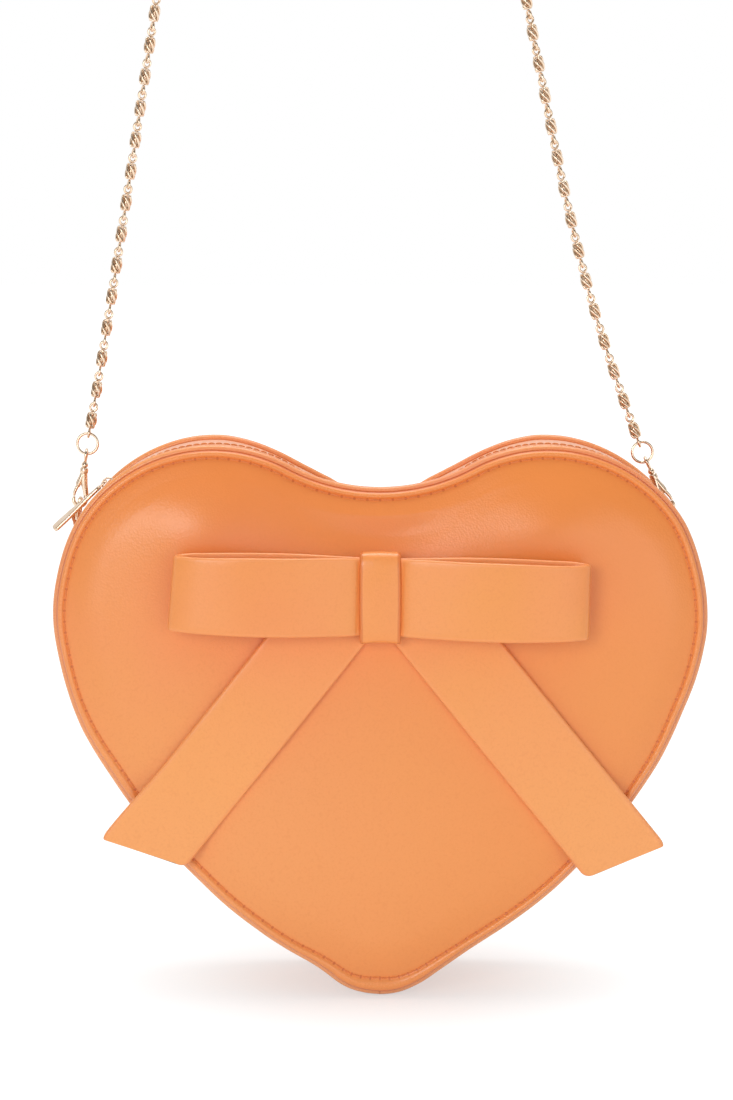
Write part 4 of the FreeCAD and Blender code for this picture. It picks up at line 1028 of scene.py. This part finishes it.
class PURSE_OT_bow(bpy.types.Operator):
    """Bow of flat bands: an open loop, the knot wrapped round it and two slanted tails"""
    bl_idname = "purse.bow"
    bl_label = "Bow"

    def execute(self, context):
        bow = context.scene.purse_bow
        height = bow.height - context.scene.purse_heart.tip_drop
        self.loop(bow, height)
        self.knot(bow, height)
        for name, side in SIDES:
            self.tail(bow, height, name, side)
        return {"FINISHED"}

    def loop(self, bow, height):
        """Band stood on edge along a closed plan: flat behind, bulged in front, folded at both ends.

        It is then slanted at its left end, and leaned clockwise as a whole."""
        right = np.array(LOOP_KEYS) / 1000
        left = right[::-1][1:-1] * [-1, 1]
        plan = through_loop(np.concatenate([right, left]), 420)
        way = loop_way(plan)
        middle = np.stack([plan[:, 0], plan[:, 1], np.full(len(plan), height)], axis=1)
        out = np.stack([way[:, 1], -way[:, 0], np.zeros(len(plan))], axis=1)
        near = np.abs(plan[:, 0]) / bow.half_width
        width = bow.band * (1.015 - 0.045 * ease((near - 0.55) / 0.45) - 0.02 * ease((0.25 - near) / 0.2))
        rear = ease((plan[:, 1] + 0.0512) / 0.0094)
        apart = ease((near - 0.15) / 0.3) * ease((1.02 - near) / 0.12)
        middle[:, 2] += apart * (rear * 0.0008 - 0.0003)
        section = {"flats": 16, "rounds": 6}
        grid = strip_grid(middle, AXIS_Z, out, width, bow.leather, **section)
        z = grid[..., 2] - height
        x = grid[..., 0] + 0.07 * ease((-grid[..., 0] - 0.040) / 0.028) * z
        grid[..., 0] = x * math.cos(bow.tilt) + z * math.sin(bow.tilt)
        grid[..., 2] = height - x * math.sin(bow.tilt) + z * math.cos(bow.tilt)
        Build().add(grid, joined=True, rim=strip_rim(width, bow.leather, **section)).piece(
            "bow_band", "bow_leather", "pouch", "leather", "bow_loop", mapped=True)

    def knot(self, bow, height):
        """Narrow band wrapped over the loop: an upright ring, fuller at its middle and arched at its foot."""
        ring = through_loop(np.array(KNOT_KEYS) / 1000, 180)
        way = loop_way(ring)
        nought = np.zeros(len(ring))
        middle = np.stack([nought, ring[:, 0], height + ring[:, 1]], axis=1)
        out = np.stack([nought, -way[:, 1], way[:, 0]], axis=1)
        width = bow.knot_width * (1.0 - 0.02 * ease((np.abs(ring[:, 1]) - 0.004) / 0.008))
        section = {"flats": 14, "rounds": 6}
        grid = strip_grid(middle, AXIS_X, out, width, bow.leather, bulge=0.00025, **section)
        under = ease((-0.0105 - ring[:, 1]) / 0.003)[:, None]
        grid[..., 2] += 0.0008 * under * (1 - (grid[..., 0] / 0.0065) ** 2)
        Build().add(grid, joined=True, rim=strip_rim(width, bow.leather, **section)).piece(
            "bow_wrap", "knot_leather_edge_shade", "pouch", "leather", "bow_knot", mapped=True)

    def tail(self, bow, height, name, side):
        """Flat band from under the knot to a slanted end: its rows turn to the slant, then round off."""
        right = 1 if side > 0 else 0
        slope = bow.tail_turn - side * math.radians(0.2)
        along = np.array([math.cos(slope), -math.sin(slope)])
        across = np.array([math.sin(slope), math.cos(slope)])
        share = np.linspace(0, 1, 70)
        turn = np.linspace(0, math.pi / 2, 12)[1:]
        run = np.concatenate([share, 1 + 0 * turn])
        shrink = np.concatenate([0 * share, 1 - np.cos(turn)]) * bow.rounding

        def reach(end):
            """Lengths along one edge, from the start to its end."""
            straight = end - bow.rounding
            even = bow.tail_start + share * (straight - bow.tail_start)
            return np.concatenate([even, straight + bow.rounding * np.sin(turn)])[:, None]

        drop = bow.tail_drop + right * bow.right_lower
        flare = (1 - right) * bow.left_flare * ease((run - 0.7) / 0.3)
        low = shrink * 0.9 - drop
        high = bow.tail_width + right * bow.right_wider - drop - shrink * 0.3 + flare
        first = reach(bow.tail_inner + right * bow.right_longer) * along + low[:, None] * across
        second = reach(bow.tail_outer + right * bow.right_longer * 0.65) * along + high[:, None] * across
        middle = (first + second) / 2 * [side, 1]
        wide = np.linalg.norm(second - first, axis=1)
        edge = upright((second - first) / wide[:, None] * [side, 1], 0.0)
        bend = ease((run - 0.45) / 0.55) * 0.0022 - 0.0006 * np.sin(np.pi * np.minimum(run * 1.25, 1.0))
        spots = upright(middle + [0.0, height], bow.tail_depth + bend)
        section = {"flats": 16, "rounds": 6}
        grid = strip_grid(spots, edge, -AXIS_Y, wide, bow.tail_leather, **section)
        Build().add(grid, rim=strip_rim(wide, bow.tail_leather, **section)).piece(
            name + "_tail", "bow_leather", "pouch", "leather", "bow_tail_" + name, mapped=True)


# Chain.

ROUTE = (
    (-0.09915, 0.0, -0.2215), (-0.0948, 0.0, -0.1994), (-0.0757, 0.0, -0.0791), (-0.0665, 0.0, -0.019891),
    (-0.014, 0.0, 0.008209), (0.0375, 0.0, -0.017991), (0.0524, 0.0, -0.091291), (0.063, 0.0, -0.143291),
    (0.0752, 0.0, -0.189291), (0.0884, 0.0, -0.2247),
)


def route_line():
    """Points of the chain's line, read from a smooth spline whose control points are the route's."""
    curve = bpy.data.curves.new("chain_route", "CURVE")
    curve.dimensions = "3D"
    curve.resolution_u = 48
    spline = curve.splines.new("NURBS")
    spline.points.add(len(ROUTE) - 1)
    for point, spot in zip(spline.points, ROUTE):
        point.co = spot + (1.0,)
    spline.order_u = 3
    spline.use_endpoint_u = True
    holder = bpy.data.objects.new("chain_route", curve)
    bpy.context.scene.collection.objects.link(holder)
    bpy.context.view_layer.update()
    mesh = bpy.data.meshes.new_from_object(holder)
    points = np.zeros(len(mesh.vertices) * 3)
    mesh.vertices.foreach_get("co", points)
    bpy.data.objects.remove(holder)
    bpy.data.meshes.remove(mesh)
    bpy.data.curves.remove(curve)
    return points.reshape(-1, 3)


class PURSE_OT_chain(bpy.types.Operator):
    """Scroll chain: beads of five twisted strands with a round eye at each end, a quarter turn apart"""
    bl_idname = "purse.chain"
    bl_label = "Chain"

    def execute(self, context):
        strap = context.scene.purse_strap
        line = route_line()
        run = np.concatenate([[0.0], np.cumsum(np.linalg.norm(np.diff(line, axis=0), axis=1))])
        total = run[-1]
        pitch = (total + 2 * strap.lap) / strap.links
        middle = (np.arange(strap.links) + 0.5) * pitch - strap.lap
        before, spot, after = (
            np.stack([np.interp(middle + move, run, line[:, k]) for k in range(3)], axis=1)
            for move in (-pitch / 2, 0.0, pitch / 2))
        way = unit(after - before)
        roll = np.linspace(0, math.pi / 2, strap.links)[:, None]
        first = np.cross(AXIS_Y, way) * np.cos(roll) + AXIS_Y * np.sin(roll)
        second = np.cross(way, first)
        build = Build()
        wire = strap.wire / 2
        eye_reach = pitch / 2 - 0.0008
        for end, side in ((-1, second), (1, first)):
            centre = spot + way * (end * eye_reach)
            grid = loop_grids(centre, way * 1.12, side, strap.eye_radius, wire, steps=18, sides=7)
            build.add(grid, joined=True)
        t = np.linspace(-1, 1, 13)
        barrel = strap.bead_radius * (0.62 + 0.38 * np.sqrt(1 - (t * 0.94) ** 2))
        thin = strap.wire * 0.60 * (0.75 + 0.25 * np.sqrt(1 - t ** 2))
        strands = 5
        for strand in range(strands):
            turn = (strand * 2 * math.pi / strands - t * 1.05)[:, None]
            spin = np.cos(turn) * first[:, None, :] + np.sin(turn) * second[:, None, :]
            lines = spot[:, None, :] + way[:, None, :] * (t * strap.bead)[:, None] + spin * barrel[:, None]
            build.add(tube_grids(lines, thin, spin, sides=6))
        for end in (-1, 1):
            centre = spot + way * (end * strap.bead * 0.97)
            grid = loop_grids(centre, first, second, strap.bead_radius * 0.66, wire * 0.9, steps=14, sides=6)
            build.add(grid, joined=True)
        core = spot[:, None, :] + way[:, None, :] * (strap.bead * np.array([-0.8, 0.0, 0.8]))[:, None]
        build.add(tube_grids(core, np.array([0.0005, 0.0009, 0.0005]), first[:, None, :] + 0 * core, sides=6))
        chain = build.piece("scroll_chain", "pale_gold", "strap", "gold_metal", "chain_links")
        return {"FINISHED"}


# Clasps, in millimetres about the middle of the hook: out from the heart, up along the strap, and half
# thickness. The D ring's keys are across and up from its bar, those of turned pieces radius and height.

D_RING_KEYS = (
    (-3.3, 0.0), (3.3, 0.0), (4.2, 0.4), (4.4, 1.4), (4.4, 3.6), (3.1, 5.95), (0.0, 6.8), (-3.1, 5.95),
    (-4.4, 3.6), (-4.4, 1.4), (-4.2, 0.4),
)
HOOK_KEYS = (
    (2.2, 1.9, 0.42), (2.25, 0.6, 0.6), (1.65, -0.5, 0.7), (0.35, -1.05, 0.76), (-1.0, -0.65, 0.78),
    (-1.75, 0.6, 0.78), (-1.75, 2.4, 0.84), (-1.3, 4.4, 0.98), (-0.75, 6.2, 1.1), (-0.4, 8.4, 1.15),
    (-0.1, 10.4, 1.15), (0.0, 11.5, 1.1),
)
CHEEK_KEYS = ((0.1, 11.0, 1.0), (0.5, 9.2, 1.0), (0.9, 7.6, 0.95), (1.3, 6.3, 0.82), (1.5, 5.4, 0.7))
COLLAR_KEYS = (
    (0.8, 10.7), (1.2, 10.95), (1.42, 11.4), (1.42, 12.3), (1.3, 12.75), (0.9, 13.05), (0.6, 13.1),
)
GATE_KEYS = ((2.3, 2.1, 0.42), (2.28, 3.2, 0.5), (2.0, 4.4, 0.58), (1.55, 5.7, 0.6))
THUMB_KEYS = ((1.6, 5.4, 0.5), (1.75, 6.4, 0.52), (1.55, 7.6, 0.5), (1.25, 8.8, 0.42), (1.0, 9.8, 0.3))
SWIVEL_KEYS = ((0.5, 13.12), (0.95, 13.25), (1.15, 13.75), (1.05, 14.3), (0.75, 14.75), (0.5, 15.1))
PIVOT = (1.5, 5.6)
# In metres: the height above which a shorter clasp is drawn together, and where its share counts from.
DRAWN_FROM = 0.005
SHARE_FROM = 0.0058


class PURSE_OT_hardware(bpy.types.Operator):
    """D rings, slim swivel clasps with their gates, and the jump rings at both ends of the chain"""
    bl_idname = "purse.hardware"
    bl_label = "Hardware"

    def execute(self, context):
        strap = context.scene.purse_strap
        self.strap_end(strap, "left", -1, strap.left_lean, strap.left_shorter)
        self.strap_end(strap, "right", 1, strap.right_lean, 0.0)
        return {"FINISHED"}

    def strap_end(self, strap, name, side, lean, shorter):
        """Pieces of one end, in its own frame: up along the strap from the ring's bar, out from the heart."""
        bar = settled(np.array([[side * strap.bar_reach, 0.0, strap.bar_height]]))[0]
        up = np.array([-side * math.sin(lean), 0.0, math.cos(lean)])
        out = np.array([side * math.cos(lean), 0.0, math.sin(lean)])
        hook = bar + up * strap.hook_height
        eye = strap.eye_height - shorter
        stretch = (eye - SHARE_FROM) / (strap.eye_height - SHARE_FROM)

        def spots(line):
            """Places of rows of out and up, where what is above the hook takes up a shorter clasp."""
            high = line[:, 1:2]
            high = np.where(high > DRAWN_FROM, DRAWN_FROM + (high - DRAWN_FROM) * stretch, high)
            return hook + line[:, :1] * out + high * up

        def rod(keys, samples, sides):
            """Round rod in the plane of the hook through keys of out, up and half thickness."""
            line = through(keys, samples) / 1000
            return tube_grids(spots(line)[None], line[None, :, 2], AXIS_Y, sides=sides)

        def lathe(keys, samples):
            """Surface turned about the strap's line from keys of radius and height."""
            line = through(keys, samples) / 1000
            cosine, sine = spokes(20)
            spoke = cosine[:, None] * out + sine[:, None] * AXIS_Y
            high = hook + (line[:, 1:] - shorter) * up
            return high[:, None, :] + spoke[None] * line[:, :1, None]

        def piece(build, kind, body, *nodes):
            """Gold piece of this end."""
            build.piece(name + kind, "pale_gold", body, "gold_metal", *(name + node for node in nodes))

        loop = through_loop(D_RING_KEYS, 90) / 1000
        ring = bar + loop[:, :1] * AXIS_Y + loop[:, 1:] * up
        grid = tube_grids(ring[None], strap.d_ring_wire, out, sides=12, joined=True)
        piece(Build().add(grid, joined=True), "_d_ring_wire", "pouch", "_d_ring")

        body = Build().add(rod(HOOK_KEYS, 80, 14)).add(rod(CHEEK_KEYS, 24, 14))
        pivot = spots(np.array([PIVOT]) / 1000)
        pin = pivot + np.linspace(-0.00125, 0.00125, 5)[:, None] * AXIS_Y
        body.add(tube_grids(pin[None], np.array([0.00034, 0.00046, 0.00046, 0.00046, 0.00034]), up, sides=12))
        piece(body.add(lathe(COLLAR_KEYS, 26)), "_clasp_body", name + "_clasp", "_clasp_hook", "_clasp_pin")

        gate = Build().add(rod(GATE_KEYS, 24, 12)).add(rod(THUMB_KEYS, 18, 10))
        piece(gate, "_clasp_lever", name + "_gate", "_clasp_gate")

        swivel = Build().add(lathe(SWIVEL_KEYS, 20))
        middle = (hook + up * eye)[None]
        grid = loop_grids(middle, up[None], AXIS_Y[None], 0.0019, 0.00052, steps=36, sides=12)
        swivel.add(grid, joined=True)
        piece(swivel, "_swivel_eye", "strap", "_clasp_eye")

        middle = middle + up * strap.ring_height
        grid = loop_grids(middle, up[None], out[None], strap.ring_radius, strap.ring_wire, steps=48, sides=12)
        piece(Build().add(grid, joined=True), "_jump_ring", "strap", "_chain_ring")


# Slider, in millimetres about the lobe's centre: run along the zip and radius, or run and depth
# for the pull's loop.

ARCH_KEYS = (
    (-2.0, 53.2), (-1.95, 54.3), (-1.3, 55.25), (0.0, 55.6), (1.3, 55.25), (1.95, 54.3), (2.0, 53.2),
)
PULL_LOOP_KEYS = (
    (0.0, 0.6), (0.0, -0.6), (-0.3, -1.2), (-1.0, -1.4), (-2.4, -1.4), (-3.1, -1.1), (-3.4, 0.0), (-3.1, 1.1),
    (-2.4, 1.4), (-1.0, 1.4), (-0.3, 1.2),
)
PLATE_HALF = 4.3
PLATE_RADII = (52.8, 48.65)
NECK_RADII = (48.9, 50.5, 52.4)
PULL_RUN = (-2.8, -13.0, -24.0)
PULL_RADIUS = 54.85
# Widths and thicknesses in metres, and the pull's twist in degrees.
PLATE = (0.0064, 0.0013)
NECK = (0.0046, 0.0010)
BRIDGE = (0.0016, 0.0006)
PULL_WIRE = 0.0004
PULL_NARROW = 0.0031
PULL_WIDER = 0.0013
PULL_THICK = 0.0014
PULL_TWIST = 22.0


class PURSE_OT_slider(bpy.types.Operator):
    """Zip slider with its low bridge, and the flat pull whose loop passes under it"""
    bl_idname = "purse.slider"
    bl_label = "Slider"

    def execute(self, context):
        heart = context.scene.purse_heart
        lean = context.scene.purse_sewing.slider_lean
        base = np.array([
            -heart.lobe_spread, context.scene.purse_sewing.zip_depth, heart.lobe_height - heart.tip_drop])
        along = np.array([math.cos(lean), 0.0, math.sin(lean)])
        out = np.array([-math.sin(lean), 0.0, math.cos(lean)])

        def spots(keys, samples):
            """Smooth line through keys of run and radius about the lobe's centre."""
            line = through(keys, samples) / 1000
            return base + line[:, :1] * along + line[:, 1:] * out

        slider = Build()
        wide = PLATE[0] * (1 - 0.3 * np.abs(np.linspace(-1, 1, 31)) ** 8)
        for radius in PLATE_RADII:
            line = spots(((-PLATE_HALF, radius), (0.0, radius), (PLATE_HALF, radius)), 31)
            slider.add(strip_grid(line, AXIS_Y, out, wide, PLATE[1], flats=8))
        neck = spots([(0.0, radius) for radius in NECK_RADII], 5)
        slider.add(strip_grid(neck, along, AXIS_Y, *NECK, flats=4, rounds=3))
        arch = spots(ARCH_KEYS, 44)
        rise = np.cross(unit(np.gradient(arch, axis=0)), AXIS_Y)
        slider.add(strip_grid(arch, AXIS_Y, rise, *BRIDGE, flats=5, rounds=3))
        slider.piece("slider_body", "pale_gold", "slider", "gold_metal", "zip_slider")

        loop = through_loop(PULL_LOOP_KEYS, 60) / 1000
        ring = base + loop[:, :1] * along + loop[:, 1:] * AXIS_Y + PULL_RADIUS / 1000 * out
        pull = Build().add(tube_grids(ring[None], PULL_WIRE, out, sides=8, joined=True), joined=True)
        line = spots([(run, PULL_RADIUS) for run in PULL_RUN], 60)
        share = np.linspace(0, 1, 60)
        ends = 0.0012 * ease((share - 0.95) / 0.05) + 0.0006 * ease((0.06 - share) / 0.06)
        wide = PULL_NARROW + PULL_WIDER * ease(share * 1.1) - ends
        twist = np.radians(PULL_TWIST) * ease(share / 0.8)[:, None]
        side = AXIS_Y * np.cos(twist) + out * np.sin(twist)
        face = out * np.cos(twist) - AXIS_Y * np.sin(twist)
        pull.add(strip_grid(line, side, face, wide, PULL_THICK, flats=8))
        pull.piece("pull_tab", "pale_gold", "pull", "gold_metal", "zip_pull")
        return {"FINISHED"}


class PURSE_OT_metal(bpy.types.Operator):
    """Gold finish on the zip's stops and the bow's rivet"""
    bl_idname = "purse.metal"
    bl_label = "Metal"

    def execute(self, context):
        for node in ("zip_stop_left", "zip_stop_right", "bow_rivet"):
            dress_node(node, "pale_gold")
        return {"FINISHED"}


# Inside, in metres. The lining's rows are its name, the depth of its front face and the board behind it.

CLOTH = 0.0005
BOARD_INSET = 0.005
BOARD_DEPTH = 0.0243
BOARD_THICK = 0.0012
LINING_INSET = 0.0042
LININGS = (("front", -0.02725, "front_board"), ("back", 0.02375, "rear_board_sheet"))
BAND_INSET = 0.0036
BAND_DEPTH = -0.0015
BAND_WIDTH = 0.0502
POCKET = (0.092, 0.062)
POCKET_FOOT = 0.068
POCKET_DEPTH = 0.0231
POCKET_OFF = 0.0016
POCKET_CLOTH = 0.0007


def heart_sheet(outline, inset, front, thick):
    """Flat heart sheet: rings from the middle out on one face, and back on the other."""
    place, normal = outline.at(outline.round(360))
    edge = place - normal * inset
    run = np.linspace(0.04, 1, 14)
    shares = np.concatenate([run, run[::-1]])[:, None, None]
    depth = np.repeat([front, front + thick], 14)[:, None]
    return upright(outline.middle + (edge - outline.middle) * shares, depth)


class PURSE_OT_inside(bpy.types.Operator):
    """Lining sheets, lining band, slip pocket and stiffening boards"""
    bl_idname = "purse.inside"
    bl_label = "Inside"

    def execute(self, context):
        outline = Outline(context.scene.purse_heart)
        grid = heart_sheet(outline, BOARD_INSET, BOARD_DEPTH, BOARD_THICK)
        case_piece(grid, "rear_board_sheet", "stiffening_board", "board", "back_board")
        dress_node("front_board", "stiffening_board")
        for name, front, board in LININGS:
            grid = heart_sheet(outline, LINING_INSET, front, CLOTH)
            made = case_piece(grid, name + "_lining_sheet", "lining_cloth", "lining", name + "_lining")
        self.band(outline)
        self.pocket(context.scene.purse_heart.tip_drop)
        return {"FINISHED"}

    def band(self, outline):
        """Lining band round the sides, from one end of the top strips to the other."""
        top = outline.strip_end
        reach = outline.half - top
        place, normal = outline.at(np.concatenate([
            np.linspace(top, outline.half, 240), np.linspace(-outline.half, -top, 240)[1:]]))
        middle = upright(place - normal * BAND_INSET, BAND_DEPTH)
        grid = strip_grid(middle, AXIS_Y, upright(normal, 0.0), BAND_WIDTH, CLOTH, flats=30, rounds=3)
        made = case_piece(grid, "side_lining", "lining_cloth", "lining", "lining_band")
        2 * reach
        BAND_WIDTH * reach * 2 * 0.97

    def pocket(self, drop):
        """Slip pocket on the rear lining: a cloth panel that stands off most at its open top."""
        rows = np.linspace(0, 1, 40)
        flat = np.stack([0 * rows, POCKET_FOOT - drop + POCKET[1] * rows], axis=1)
        spots = upright(flat, POCKET_DEPTH - POCKET_OFF * ease(rows * 1.4))
        bulge = 0.00045 * ease(rows)[:, None]
        grid = strip_grid(spots, AXIS_X, -AXIS_Y, POCKET[0], POCKET_CLOTH, flats=24, rounds=3, bulge=bulge)
        made = Build().add(grid).piece("slip_pocket", "lining_cloth", "pouch", "lining", "inner_pocket")


# Stage.

def looking(spot, aim):
    """Placing of a lamp or camera at a spot that looks at an aim, its top kept up."""
    back = unit(spot - aim)
    right = unit(np.cross(AXIS_Z, back))
    rows = np.stack([right, np.cross(back, right), back, spot], axis=1).tolist()
    return Matrix(rows + [[0.0, 0.0, 0.0, 1.0]])


class PURSE_OT_stage(bpy.types.Operator):
    """White floor, soft light and the camera"""
    bl_idname = "purse.stage"
    bl_label = "Stage"

    def execute(self, context):
        look = context.scene.purse_stage
        self.floor(context.scene)
        self.world(context.scene, look)
        self.lamps(context.scene, look)
        self.camera(context.scene, look)
        context.scene.view_settings.view_transform = "Standard"
        return {"FINISHED"}

    def rays(self, finish):
        """1 for rays from the camera or through glass, and 1 for rays from gloss."""
        path = finish.node("ShaderNodeLightPath", {}, {}, "Is Camera Ray")
        glass = Wire(finish, path.socket.node.outputs["Is Transmission Ray"])
        gloss = Wire(finish, path.socket.node.outputs["Is Glossy Ray"])
        return path.math("MAXIMUM", glass), gloss

    def floor(self, scene):
        """Wide white plane under the tip; part of its look is plain white, so that only the shadow shows."""
        level = SOLID_BOX[0][2] - 0.0009
        mesh = bpy.data.meshes.new("floor")
        mesh.from_pydata([(-6, -4, level), (6, -4, level), (6, 9, level), (-6, 9, level)], [], [(0, 1, 2, 3)])
        finish = Finish(bpy.data.materials.new("white_floor"))
        matt = finish.node("ShaderNodeBsdfDiffuse", {}, {"Color": (0.90, 0.88, 0.87, 1.0)})
        glow = finish.node("ShaderNodeEmission", {}, {"Color": (1.0, 1.0, 1.0, 1.0), "Strength": 1.2})
        direct, gloss = self.rays(finish)
        ends = {0: finish.where(), 1: (0.0, 0.0, level)}
        away = finish.node("ShaderNodeVectorMath", {"operation": "DISTANCE"}, ends, "Value")
        white = 0.45 + away.step(0.015, 0.12) * 0.4 + away.step(0.12, 0.3) * 0.15
        share = direct.math("MAXIMUM", gloss) * white
        finish.show(finish.node("ShaderNodeMixShader", {}, {0: share, 1: matt, 2: glow}))
        mesh.materials.append(finish.holder)
        made = bpy.data.objects.new("floor", mesh)
        scene.collection.objects.link(made)

    def world(self, scene, look):
        """White all round for the camera; gloss sees it too, but a dimmer room above and in front."""
        scene.world = bpy.data.worlds.new("studio")
        finish = Finish(scene.world, "ShaderNodeOutputWorld")
        direct, gloss = self.rays(finish)
        facing = finish.node("ShaderNodeTexCoord", {}, {}, "Generated")
        ahead = (0 - finish.part(facing, 1)).step(-0.15, 0.55)
        above = finish.part(facing, 2).step(0.12, 0.5)
        room = 1 - ahead * 0.72 - above * 0.15
        strength = direct + (1 - direct) * (gloss * room + (1 - gloss) * look.ambient)
        values = {"Color": (1.0, 1.0, 1.0, 1.0), "Strength": strength}
        finish.show(finish.node("ShaderNodeBackground", {}, values))

    def lamps(self, scene, look):
        """Soft lamps: the key in front on the left, a broad fill low on the right, and one overhead."""
        aim = np.array(look.aim)
        for name, way, far, size, power in (
            ("key", (-0.366, -0.907, 0.208), 1.5, 0.65, look.key),
            ("fill", (0.46, -0.875, -0.15), 1.5, 1.2, look.key),
            ("top", (0.0, 0.10, 0.995), 1.2, 0.9, look.key * 1.4),
        ):
            lamp = bpy.data.lights.new(name, "AREA")
            lamp.shape = "DISK"
            lamp.size = size
            lamp.energy = power
            made = bpy.data.objects.new(name, lamp)
            scene.collection.objects.link(made)
            made.matrix_world = looking(aim + far * unit(np.array(way)), aim)

    def camera(self, scene, look):
        """Camera at the photograph's angle for a frame of 733 by 1100."""
        aim = np.array(look.aim)
        away = np.array([0.0, -math.cos(look.elevation), math.sin(look.elevation)])
        lens = bpy.data.cameras.new("camera")
        lens.sensor_fit = "VERTICAL"
        lens.sensor_height = 24.0
        lens.lens = look.lens
        lens.clip_start = 0.02
        made = bpy.data.objects.new("camera", lens)
        scene.collection.objects.link(made)
        made.matrix_world = looking(aim + away * look.distance, aim)
        scene.camera = made


GROUPS = (
    ("purse_heart", HeartSizes), ("purse_sewing", SewingSizes), ("purse_bow", BowSizes),
    ("purse_strap", StrapSizes), ("purse_finishes", Finishes), ("purse_stage", StageLook),
)
STEPS = (
    PURSE_OT_stage, PURSE_OT_chain, PURSE_OT_panels, PURSE_OT_piping, PURSE_OT_gusset, PURSE_OT_zip,
    PURSE_OT_ring_tabs, PURSE_OT_stitches, PURSE_OT_bow, PURSE_OT_hardware, PURSE_OT_slider, PURSE_OT_metal,
    PURSE_OT_inside,
)


class PURSE_PT_parts(bpy.types.Panel):
    """Values and steps of the purse"""
    bl_idname = "PURSE_PT_parts"
    bl_label = "Purse"
    bl_space_type = "VIEW_3D"
    bl_region_type = "UI"
    bl_category = "Purse"

    def draw(self, context):
        layout = self.layout
        for step in STEPS:
            layout.operator(step.bl_idname)
        for name, group in GROUPS:
            box = layout.box()
            box.label(text=group.__doc__.splitlines()[0])
            for key in group.__annotations__:
                box.prop(getattr(context.scene, name), key)


def register():
    for name, group in GROUPS:
        bpy.utils.register_class(group)
        setattr(bpy.types.Scene, name, bpy.props.PointerProperty(type=group))
    for step in STEPS:
        bpy.utils.register_class(step)
    bpy.utils.register_class(PURSE_PT_parts)


def unregister():
    bpy.utils.unregister_class(PURSE_PT_parts)
    for step in reversed(STEPS):
        bpy.utils.unregister_class(step)
    for name, group in reversed(GROUPS):
        delattr(bpy.types.Scene, name)
        bpy.utils.unregister_class(group)


def main():
    """Registers the classes and runs each step in order."""
    register()
    bpy.ops.purse.stage()
    bpy.ops.purse.chain()
    bpy.ops.purse.panels()
    bpy.ops.purse.piping()
    bpy.ops.purse.gusset()
    bpy.ops.purse.zip()
    bpy.ops.purse.ring_tabs()
    bpy.ops.purse.stitches()
    bpy.ops.purse.bow()
    bpy.ops.purse.hardware()
    bpy.ops.purse.slider()
    bpy.ops.purse.metal()
    bpy.ops.purse.inside()


if __name__ == "__main__":
    main()
